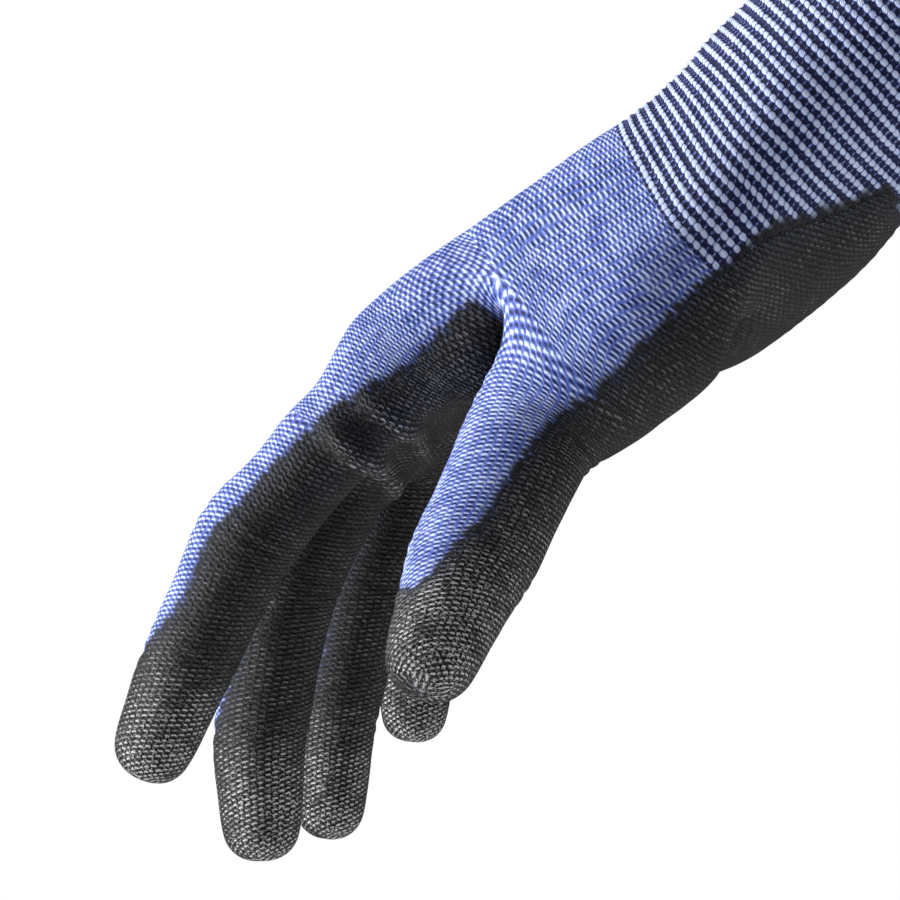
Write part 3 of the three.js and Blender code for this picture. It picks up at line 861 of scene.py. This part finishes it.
def shell(name, faces, outward, inward, material, values):
    """A closed shell of some quads, from inward to outward of the surface in millimetres."""
    quads = surface.faces[faces]
    used, local = np.unique(quads, return_inverse=True)
    local = local.reshape(-1, 4)
    count = len(used)
    base, normals = surface.points[used], surface.normals[used]
    outer = base + normals * outward[used][:, None]
    inner = base + normals * inward
    starts, ends = local.ravel(), np.roll(local, -1, axis=1).ravel()
    rim = ~np.isin(starts * count + ends, ends * count + starts)
    a, b = starts[rim], ends[rim]
    uvs = surface.uvs[faces]
    uv_a, uv_b = uvs.reshape(-1, 2)[rim], np.roll(uvs, -1, axis=1).reshape(-1, 2)[rim]
    all_quads = np.concatenate([local, local[:, ::-1] + count,
                                np.stack([b, a, a + count, b + count], axis=1)])
    all_uvs = np.concatenate([uvs, uvs[:, ::-1], np.stack([uv_b, uv_a, uv_a, uv_b], axis=1)])
    mesh = bpy.data.meshes.new(name)
    vertices = np.concatenate([outer, inner]) * MM
    mesh.from_pydata(vertices.tolist(), [], all_quads.tolist())
    layer = mesh.uv_layers.new(name="stitch")
    layer.data.foreach_set("uv", all_uvs.astype(np.float32).ravel())
    for key, numbers in values.items():
        attribute = mesh.attributes.new(key, "FLOAT", "POINT")
        attribute.data.foreach_set("value", np.tile(numbers[used], 2).astype(np.float32))
    mesh.shade_smooth()
    loop_normals = np.concatenate([normals[local].reshape(-1, 3), -normals[local[:, ::-1]].reshape(-1, 3),
                                   np.zeros((len(a) * 4, 3))])
    mesh.normals_split_custom_set(loop_normals.tolist())
    mesh.materials.append(material)
    return added(name, mesh)


# ---- materials ---------------------------------------------------------------

# Knit colours: the gaps between stitches, their flanks and their crowns.
FINE_COLOURS = ((0.007, 0.012, 0.075, 1), (0.075, 0.12, 0.46, 1), (0.60, 0.70, 0.97, 1))
RIB_COLOURS = ((0.005, 0.008, 0.055, 1), (0.13, 0.17, 0.50, 1), (0.60, 0.69, 0.96, 1))
SOAKED_COLOUR = (0.012, 0.013, 0.017, 1)     # knit that the coating has soaked into
COATING_COLOUR = (0.002, 0.002, 0.0025, 1)
GRAIN_AND_HIGHLIGHT_COLOUR = (0.54, 0.54, 0.56, 1)          # light grey painted on the coating: highlights on stitch crowns, fingertips and palm folds, and light grains
EDGE_COLOUR = (0.035, 0.05, 0.12, 1)         # liner seen through the thin edge of the coating
HEM_COLOURS = ((0.012, 0.02, 0.09, 1), (0.07, 0.10, 0.32, 1))

# Height of the knit at which gap turns into flank, start and end, and flank into crown, start and end.
FINE_STEPS = (-0.95, -0.25, -0.1, 0.95)
RIB_STEPS = (-0.8, -0.05, -0.1, 0.8)

# Depth of the relief of stitches, in millimetres.
FINE_BUMP, RIB_BUMP, COATING_BUMP, HEM_BUMP = 0.3, 0.35, 0.34, 0.08


class Graph:
    """The nodes of one material. Each method adds a node and returns what it puts out."""

    def __init__(self, name):
        self.material = bpy.data.materials.new(name)
        self.material.use_nodes = True
        self.tree = self.material.node_tree
        self.surface = self.tree.nodes["Principled BSDF"]

    def put(self, value, socket):
        if isinstance(value, bpy.types.NodeSocket):
            self.tree.links.new(value, socket)
        else:
            socket.default_value = value

    def node(self, kind, values=(), **settings):
        made = self.tree.nodes.new(kind)
        for key, value in settings.items():
            setattr(made, key, value)
        for socket, value in values:
            self.put(value, made.inputs[socket])
        return made

    def math(self, operation, *values):
        return self.node("ShaderNodeMath", enumerate(values), operation=operation).outputs[0]

    def times(self, value, factor):
        return self.math("MULTIPLY", value, factor)

    def scaled(self, value, factor, more):
        """value times factor, plus more."""
        return self.math("MULTIPLY_ADD", value, factor, more)

    def total(self, first, *others):
        for other in others:
            first = self.math("ADD", first, other)
        return first

    def ramp(self, value, low, high, start=0.0, end=1.0):
        """start below low, end above high and a smooth step between."""
        values = ((0, value), (1, low), (2, high), (3, start), (4, end))
        return self.node("ShaderNodeMapRange", values, interpolation_type="SMOOTHSTEP").outputs[0]

    def mix(self, share, first, second):
        values = ((0, share), (6, first), (7, second))
        return self.node("ShaderNodeMix", values, data_type="RGBA").outputs[2]

    def attribute(self, name):
        return self.node("ShaderNodeAttribute", attribute_name=name).outputs["Fac"]

    def noise(self, size, detail=2.0):
        """Noise from about 0.2 to 0.8, with features of a size in millimetres."""
        place = self.node("ShaderNodeTexCoord").outputs["Object"]
        values = (("Vector", place), ("Scale", 1 / (size * MM)), ("Detail", detail))
        return self.node("ShaderNodeTexNoise", values).outputs["Fac"]

    def stitch_place(self):
        uv = self.node("ShaderNodeUVMap", uv_map="stitch").outputs[0]
        split = self.node("ShaderNodeSeparateXYZ", ((0, uv),))
        return split.outputs[0], split.outputs[1]

    def wave(self, value, turns=1.0, shift=0.0):
        """A cosine of value, with so many turns for each whole step."""
        return self.math("COSINE", self.scaled(value, math.tau * turns, shift))

    def random_for(self, column, row):
        """One random number for each stitch."""
        cell = self.node("ShaderNodeCombineXYZ", ((0, column), (1, row))).outputs[0]
        return self.node("ShaderNodeTexWhiteNoise", ((0, cell),), noise_dimensions="2D").outputs[0]

    def bump(self, height, depth):
        values = (("Strength", 1.0), ("Distance", depth * MM), ("Height", height))
        self.put(self.node("ShaderNodeBump", values).outputs[0], self.surface.inputs["Normal"])


def fine_stitches(graph):
    """Rows of short slanted dashes, each column half a stitch off the next.

    Gives the height of the knit from -1 to 1 and a random number for each stitch.
    """
    across, along = graph.stitch_place()
    sway = graph.scaled(graph.noise(1.5, 2.0), 0.9, -0.45)
    across = graph.total(across, sway)
    arch = graph.times(graph.wave(across, 1.0, 0.9), 0.07)
    slant = graph.times(sway, 0.45)
    row = graph.total(graph.math("DIVIDE", along, COURSE), arch, slant)
    height = graph.times(graph.wave(row), graph.wave(across, 0.5))
    column = graph.math("ROUND", across)
    cell = graph.math("ROUND", graph.scaled(column, 0.5, row))
    return height, graph.random_for(column, cell)


def rib_stitches(graph):
    """Ridges of slanted beads, with dark spots in the valleys between them.

    Gives the height of the knit from -1 to 1 and a random number for each bead.
    """
    across, along = graph.stitch_place()
    sway = graph.scaled(graph.noise(2.0, 1.0), 0.4, -0.2)
    row = graph.scaled(sway, 0.4, graph.math("DIVIDE", along, RIDGE))
    slanted = graph.total(across, graph.times(row, 0.42), sway)
    beads = graph.wave(slanted)
    lines = graph.times(graph.ramp(beads, -1.0, -0.62, 1.0, 0.0), -0.75)
    scallop = graph.times(beads, 0.22)
    band = graph.ramp(graph.total(graph.wave(row), scallop), -0.45, 0.55, -1.0, 0.85)
    slivers = graph.ramp(graph.wave(across, 1.0, math.pi), 0.25, 0.95, 0.0, 0.95)
    valley = graph.times(slivers, graph.ramp(graph.wave(row), -0.2, -0.9))
    fibre = graph.times(graph.wave(graph.total(slanted, slanted, row), 2.0), 0.12)
    height = graph.total(band, lines, valley, fibre)
    return height, graph.random_for(graph.math("ROUND", slanted), graph.math("ROUND", row))


def yarn_colour(graph, height, chance, steps, colours):
    """Dark gaps, blue flanks and light crowns, with streaks, and black where the coating soaks in."""
    gap, blue, crown = colours
    streaks = graph.ramp(graph.noise(6, 3.0), 0.35, 0.65, -0.14, 0.14)
    lifted = graph.total(height, streaks, graph.scaled(chance, 0.5, -0.25))
    colour = graph.mix(graph.ramp(lifted, steps[0], steps[1]), gap, blue)
    colour = graph.mix(graph.ramp(lifted, steps[2], steps[3]), colour, crown)
    soaked = graph.total(graph.attribute("coated"), graph.scaled(chance, 0.5, -0.25))
    return graph.mix(graph.ramp(soaked, 0.1, 0.95), colour, SOAKED_COLOUR)


def knit_material(name, stitches, steps, colours, depth):
    graph = Graph(name)
    height, chance = stitches(graph)
    graph.put(yarn_colour(graph, height, chance, steps, colours), graph.surface.inputs["Base Color"])
    graph.surface.inputs["Roughness"].default_value = 0.66
    graph.surface.inputs["Specular IOR Level"].default_value = 0.25
    graph.surface.inputs["Sheen Weight"].default_value = 0.06
    graph.surface.inputs["Sheen Roughness"].default_value = 0.4
    fuzz = graph.times(graph.noise(0.35, 2.0), 0.5)
    graph.bump(graph.scaled(height, 0.5, fuzz), depth)
    return graph.material


def coating_material():
    """Thin dark coating over the knit: stitches show through as bumps, with highlights painted on their
    crowns, on the fingertips and on the palm's folds.
    """
    graph = Graph("coating")
    height, chance = fine_stitches(graph)
    grain = graph.noise(0.42, 3.0)
    highlight = graph.attribute("highlight")
    patches = graph.ramp(graph.noise(10, 2.0), 0.36, 0.66)
    # Highlights painted on the stitch crowns, in random patches, much stronger where the highlight mask is
    # high.
    crowns = graph.times(graph.ramp(height, 0.1, 0.9), graph.ramp(chance, 0.0, 1.0, 0.25, 1.0))
    speckle = graph.ramp(grain, 0.5, 0.72)
    strength = graph.total(graph.scaled(patches, 0.18, 0.07), graph.times(highlight, 2.2))
    light = graph.times(crowns, strength)
    # Light grains of the coating, brightened further where highlights are painted.
    grain_and_highlight = graph.times(speckle, graph.scaled(highlight, 0.9, 0.09))
    colour = graph.mix(graph.total(light, grain_and_highlight), COATING_COLOUR, GRAIN_AND_HIGHLIGHT_COLOUR)
    thin = graph.times(graph.attribute("thin"), graph.ramp(height, -0.2, 0.8))
    colour = graph.mix(graph.times(thin, 0.6), colour, EDGE_COLOUR)
    graph.put(colour, graph.surface.inputs["Base Color"])
    # The coating is also glossier where the highlights are painted.
    rough = graph.total(graph.scaled(grain, 0.4, 0.3), graph.times(highlight, -0.16))
    graph.put(rough, graph.surface.inputs["Roughness"])
    graph.surface.inputs["Specular IOR Level"].default_value = 0.22
    graph.bump(graph.scaled(height, 0.55, grain), COATING_BUMP)
    return graph.material


def hem_material():
    """Dark blue overlock yarn, twisted."""
    graph = Graph("hem")
    across, along = graph.stitch_place()
    twist = graph.wave(graph.total(across, along), 3.0)
    grey = graph.noise(0.6, 2.0)
    share = graph.times(graph.ramp(twist, -0.8, 0.8), graph.ramp(grey, 0.3, 0.7, 0.4, 1.0))
    graph.put(graph.mix(share, *HEM_COLOURS), graph.surface.inputs["Base Color"])
    graph.surface.inputs["Roughness"].default_value = 0.75
    graph.bump(twist, HEM_BUMP)
    return graph.material


FINE_KNIT = knit_material("fine_knit", fine_stitches, FINE_STEPS, FINE_COLOURS, FINE_BUMP)
RIB_KNIT = knit_material("rib_knit", rib_stitches, RIB_STEPS, RIB_COLOURS, RIB_BUMP)
COATING = coating_material()
HEM = hem_material()


# ---- pieces ------------------------------------------------------------------

def bend_zone(limb, joint, near, far):
    """Start and end of a blend across a limb's joint, square to its mean direction."""
    centre = limb.joints[joint]
    direction = unit(limb.directions[joint - 1] + limb.directions[joint])
    return centre - direction * near, centre + direction * far


PALM_TILT = 18               # slope of the palm's bend against the hand, in degrees
KNUCKLE_REACH = 9.5          # how far a blend reaches from a finger's middle joint, where there is room
TIP_REACH = 9                # the same at its end joint

KNUCKLES = sum(limb.joints[0] for limb in LIMBS.values()) / len(LIMBS)
KNUCKLE_LINE = unit(LIMBS["index"].joints[0] - LIMBS["little"].joints[0])
PALM_UP = hand_direction(turned(Z_AXIS, Y_AXIS, -math.radians(PALM_TILT)))
PALM_FORWARD = unit(-np.cross(PALM_UP, KNUCKLE_LINE))
THUMB_START = THUMB_LIMB.joints[0]
THUMB_FORWARD = THUMB_LIMB.directions[0]

# Blend zones: where a blend from one body to the next starts and where it ends.
WRIST_ZONE = (np.array((WRIST_X + 18, 0, 0)), hand_point((-16, 0, 0)))
PALM_ZONE = (KNUCKLES - PALM_FORWARD * 22, KNUCKLES + PALM_FORWARD * 4)
THUMB_ZONE = (THUMB_START + THUMB_FORWARD * 34.5, THUMB_START + THUMB_FORWARD * 43)

# Each piece of liner: the two bodies it lies between, its blend zone and the CAD nodes it stands for.
PIECES = {
    "cuff": ("cuff", "hand", WRIST_ZONE, ["cuff", "wrist_sleeve"]),
    "wrist": ("cuff", "hand", WRIST_ZONE, []),
    "hand": ("hand", "knuckles", PALM_ZONE, ["hand_shell", "palm_crease_sleeve", "knuckle_shell"]),
    "thumb_root": ("hand", "thumb_root", THUMB_ZONE, ["thumb_root_sleeve"]),
    "thumb_base": ("thumb_root", "thumb_base", bend_zone(THUMB_LIMB, 1, 1, 13.5),
                   ["thumb_root", "thumb_base_sleeve"]),
    "thumb_tip": ("thumb_base", "thumb_tip", bend_zone(THUMB_LIMB, 2, 10, 10),
                  ["thumb_base", "thumb_tip_sleeve", "thumb_tip"]),
}

# The CAD nodes of coating that a piece's own coating stands for.
COATINGS = {
    "cuff": ["heel_coating"],
    "hand": ["palm_coating"],
    "thumb_tip": ["thumb_base_coating", "thumb_tip_coating"],
    "index_root": ["knuckle_coating"],
}
for name, limb in LIMBS.items():
    first, second, _ = limb.lengths
    start = limb.joints[0] + limb.directions[0] * (WEB_DISTANCE + 1.5)
    end = limb.joints[0] + limb.directions[0] * (WEB_DISTANCE + (first - WEB_DISTANCE) * 0.5)
    near = min(KNUCKLE_REACH, (first - WEB_DISTANCE) * 0.42)
    middle_zone = bend_zone(limb, 1, near, min(KNUCKLE_REACH, second * 0.37))
    tip_zone = bend_zone(limb, 2, min(TIP_REACH, second * 0.5), TIP_REACH)
    PIECES[name + "_root"] = ("knuckles", name + "_base", (start, end),
                              ["finger_web"] if name == "index" else [])
    PIECES[name + "_base"] = (name + "_base", name + "_middle", middle_zone,
                              [name + "_base", name + "_middle_sleeve"])
    PIECES[name + "_tip"] = (name + "_middle", name + "_tip", tip_zone,
                             [name + "_middle", name + "_tip_sleeve", name + "_tip"])
    COATINGS[name + "_base"] = [name + "_base_coating"]
    COATINGS[name + "_tip"] = [name + "_middle_coating", name + "_tip_coating"]


def hang(obj, replaced):
    """Bakes a piece's placement into its mesh and hides the CAD nodes it stands for."""
    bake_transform(obj)
    if replaced:
        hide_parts(*replaced)


def fingertip_highlight():
    """How much highlight is painted on each point of the coating: patches on the ends and thumb sides of the
    fingers.
    """
    highlight = np.zeros(len(surface.points))
    for place in PLACES:
        points = surface.points[place.chosen]
        share = place.share
        side = smoothstep(-degrees_between(place.angle, place.highlight_side), -110, -30)
        end = smoothstep(share, 0.93, 1.0)
        patch = np.clip(0.75 + layered_noise(points, TIP_HIGHLIGHT_NOISE), 0, 1)
        highlight[place.chosen] = patch * np.maximum(smoothstep(share, 0.7, 0.95) * side, end * (0.3 + 0.7 * side))
        highlight[place.chosen] += 0.05 * smoothstep(share, 0.3, 0.8) * side
    return highlight


def palm_highlight():
    """The same painted highlights on the crests of the palm's folds and beside the thumb."""
    local = to_hand(surface.points)
    beside_thumb = np.exp(-((local[:, 0] + 64) / 11) ** 2) * smoothstep(-local[:, 1], 20, 32)
    patch = np.clip(0.8 + layered_noise(surface.points, PALM_HIGHLIGHT_NOISE), 0, 1)
    return patch * (0.34 * smoothstep(palm_folds(), 0.5, 2.2) + 0.26 * beside_thumb)


SOAK_SPAN = (-3.4, 0.2)      # from dry knit to soaked knit, inwards over the coating's edge
THICKEN_SPAN = (0, 3)
THIN_SPAN = (0, 3.5)

FLUSH = np.zeros(len(surface.points))
COATED = smoothstep(DEPTH, *SOAK_SPAN)
THICKENING = (COATING_THICKNESS - COATING_EDGE) * smoothstep(DEPTH, *THICKEN_SPAN)
THICKNESS = COATING_LIFT + COATING_EDGE + THICKENING
# The coating's thin edge, and where highlights are painted on it.
COATING_VALUES = {"thin": 1 - smoothstep(DEPTH, *THIN_SPAN), "highlight": fingertip_highlight() + palm_highlight()}
IN_COATING = DEPTH[surface.faces].mean(axis=1) > 0

for piece, (_, _, _, replaced) in PIECES.items():
    faces = surface.pieces == piece
    knit = RIB_KNIT if piece == "cuff" else FINE_KNIT
    liner = shell("liner_" + piece, faces, FLUSH, -LINER_WALL, knit, {"coated": COATED})
    hang(liner, replaced)
    covered = faces & IN_COATING
    if covered.any():
        coating = shell("coating_" + piece, covered, THICKNESS, COATING_LIFT, COATING, COATING_VALUES)
        hang(coating, COATINGS.get(piece, []))


# ---- hem ---------------------------------------------------------------------

HEM_OUT, HEM_IN = 0.75, 1.75         # how far the hem stands out of and into the knit
HEM_SEGMENTS = 104
HEM_LOOPS = 92
HEM_SQUARENESS = 2.8
SECTION_STEPS = 14                   # points round the hem's section
THREAD_RADIUS = 0.42
THREAD_SIDES = 6


def hem_profile(swell=0.0):
    """Points round the hem's rounded section: distance from the mouth and height over the knit."""
    middle, half = HEM_LENGTH / 2 - 0.2, HEM_LENGTH / 2 + swell
    height, lift = (HEM_OUT + HEM_IN) / 2 + swell, (HEM_OUT - HEM_IN) / 2
    angles = [math.tau * i / SECTION_STEPS for i in range(SECTION_STEPS)]
    return [(middle + half * bulge(math.cos(a), HEM_SQUARENESS),
             lift + height * bulge(math.sin(a), HEM_SQUARENESS)) for a in angles]


def ring_mesh(name, rows, uvs, material):
    """A mesh through equal rows of points that close on themselves both ways."""
    count, width = len(rows), len(rows[0])
    faces, corners = [], []
    for i in range(count):
        for j in range(width):
            a, b = i * width + j, i * width + (j + 1) % width
            c, d = ((i + 1) % count) * width + (j + 1) % width, ((i + 1) % count) * width + j
            faces.append((a, b, c, d))
            corners += [(uvs[0] * i, uvs[1] * j), (uvs[0] * i, uvs[1] * (j + 1)),
                        (uvs[0] * (i + 1), uvs[1] * (j + 1)), (uvs[0] * (i + 1), uvs[1] * j)]
    mesh = bpy.data.meshes.new(name)
    mesh.from_pydata([tuple(p * MM) for row in rows for p in row], [], faces)
    mesh.uv_layers.new(name="stitch").data.foreach_set("uv", np.array(corners, np.float32).ravel())
    mesh.shade_smooth()
    mesh.materials.append(material)
    return added(name, mesh)


def mouth_point(angle, along, height):
    """A point of the hem: angle round the mouth in degrees, distance from it and height over the knit."""
    centre, across, up, half_width, half_depth, _ = body_frame(max(along, 0))
    turn = math.radians(angle)
    flat = (across * (half_width + height) * math.cos(turn) + up * (half_depth + height) * math.sin(turn))
    return flat - X_AXIS * along


def build_hem():
    rows = [[mouth_point(360 * i / HEM_SEGMENTS, *place) for place in hem_profile()]
            for i in range(HEM_SEGMENTS)]
    return ring_mesh("hem_band", rows, (1.0, 0.3), HEM)


def build_hem_thread():
    """Overlock thread wrapped slantwise round the hem, as one closed coil."""
    profile = hem_profile(THREAD_RADIUS * 0.5)
    count = HEM_LOOPS * SECTION_STEPS
    path = np.array([mouth_point(360 * i / count, *profile[i % SECTION_STEPS]) for i in range(count)])
    ahead = np.roll(path, -1, axis=0) - np.roll(path, 1, axis=0)
    rows = []
    for i in range(count):
        forward = unit(ahead[i])
        centre = mouth_point(360 * i / count, HEM_LENGTH / 2, -0.5)
        side = unit(np.cross(forward, path[i] - centre))
        out = np.cross(side, forward)
        rows.append([path[i] + THREAD_RADIUS * (side * math.cos(a) + out * math.sin(a))
                     for a in np.arange(THREAD_SIDES) * math.tau / THREAD_SIDES])
    return ring_mesh("hem_thread", rows, (0.35, 0.3), HEM)


hem_band, hem_thread = build_hem(), build_hem_thread()
for obj in (hem_band, hem_thread):
    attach(obj, "cuff")
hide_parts("cuff_hem")


# ---- camera, light and floor -------------------------------------------------

def aim(obj, place, axes):
    """Puts an object at a place in millimetres, with its right, up and back directions."""
    matrix = Matrix.Identity(4)
    for column, axis in enumerate(axes):
        matrix.col[column][:3] = axis
    matrix.col[3][:3] = place * MM
    obj.matrix_world = matrix


CAMERA_DISTANCE = 650        # in millimetres, as are the shift and the origin, in the hand frame
LENS = 128.6
CAMERA_SHIFT = (-65.1, -57.1)
SIGHT_ORIGIN = np.array((11, 0, 2))
RIGHT = unit(np.array((0.835, 0.291, -0.466)))
UP = np.array((0.515, -0.12, 0.848))
UP = unit(UP - RIGHT * (UP @ RIGHT))
BACK = np.cross(RIGHT, UP)
VIEW_AXES = [hand_direction(axis) for axis in (RIGHT, UP, BACK)]

camera_data = bpy.data.cameras.new("camera")
camera_data.lens = LENS
camera_data.sensor_width = 36
camera_data.clip_start, camera_data.clip_end = 0.01, 50
camera = added("camera", camera_data)
eye = SIGHT_ORIGIN + RIGHT * CAMERA_SHIFT[0] + UP * CAMERA_SHIFT[1] + BACK * CAMERA_DISTANCE
aim(camera, hand_point(eye), VIEW_AXES)
bpy.context.scene.camera = camera

# Soft boxes: offsets from the glove along the camera's right, up and back, then watts and size in metres.
LIGHT_TARGET = hand_point((-55, 0, -10))
LIGHTS = {
    "key": ((-640, 240, 0), 7.5, 0.3),
    "top": ((-300, 600, 60), 2.0, 0.4),
    "front": ((-560, -360, 40), 3.0, 0.2),
}
for name, (offset, power, size) in LIGHTS.items():
    light_data = bpy.data.lights.new(name, "AREA")
    light_data.energy = power
    light_data.size = size
    light = added(name, light_data)
    shift = sum(axis * distance for axis, distance in zip(VIEW_AXES, offset))
    back = unit(shift)
    side = unit(np.cross(Z_AXIS, back))
    aim(light, LIGHT_TARGET + shift, (side, np.cross(back, side), back))


def pale_to_the_camera(tree, strength_socket, lit, seen):
    """Keeps the backdrop pale in the picture while it lights the glove only softly."""
    ray = tree.nodes.new("ShaderNodeLightPath").outputs["Is Camera Ray"]
    strength = tree.nodes.new("ShaderNodeMapRange")
    strength.inputs["To Min"].default_value = lit
    strength.inputs["To Max"].default_value = seen
    tree.links.new(ray, strength.inputs[0])
    tree.links.new(strength.outputs[0], strength_socket)


WORLD_LIGHT, WORLD_SEEN = 0.05, 1.0
FLOOR_LIGHT, FLOOR_SEEN = 0.04, 0.9
FLOOR_Z, FLOOR_HALF = -300, 3000

world = bpy.data.worlds.new("studio")
world.use_nodes = True
sky = world.node_tree.nodes["Background"]
sky.inputs["Color"].default_value = (1, 1, 1, 1)
pale_to_the_camera(world.node_tree, sky.inputs["Strength"], WORLD_LIGHT, WORLD_SEEN)
bpy.context.scene.world = world
bpy.context.scene.view_settings.view_transform = "Standard"

floor_mesh = bpy.data.meshes.new("floor")
floor_corners = [(-1, -1), (1, -1), (1, 1), (-1, 1)]
floor_mesh.from_pydata([(x * FLOOR_HALF * MM, y * FLOOR_HALF * MM, FLOOR_Z * MM) for x, y in floor_corners],
                       [], [(0, 1, 2, 3)])
floor = added("floor", floor_mesh)
floor_look = bpy.data.materials.new("pale_floor")
floor_look.use_nodes = True
floor_shader = floor_look.node_tree.nodes["Principled BSDF"]
floor_shader.inputs["Base Color"].default_value = (0.8, 0.8, 0.8, 1)
floor_shader.inputs["Roughness"].default_value = 0.9
floor_shader.inputs["Emission Color"].default_value = (1, 1, 1, 1)
floor_glow = floor_shader.inputs["Emission Strength"]
pale_to_the_camera(floor_look.node_tree, floor_glow, FLOOR_LIGHT, FLOOR_SEEN)
floor_mesh.materials.append(floor_look)
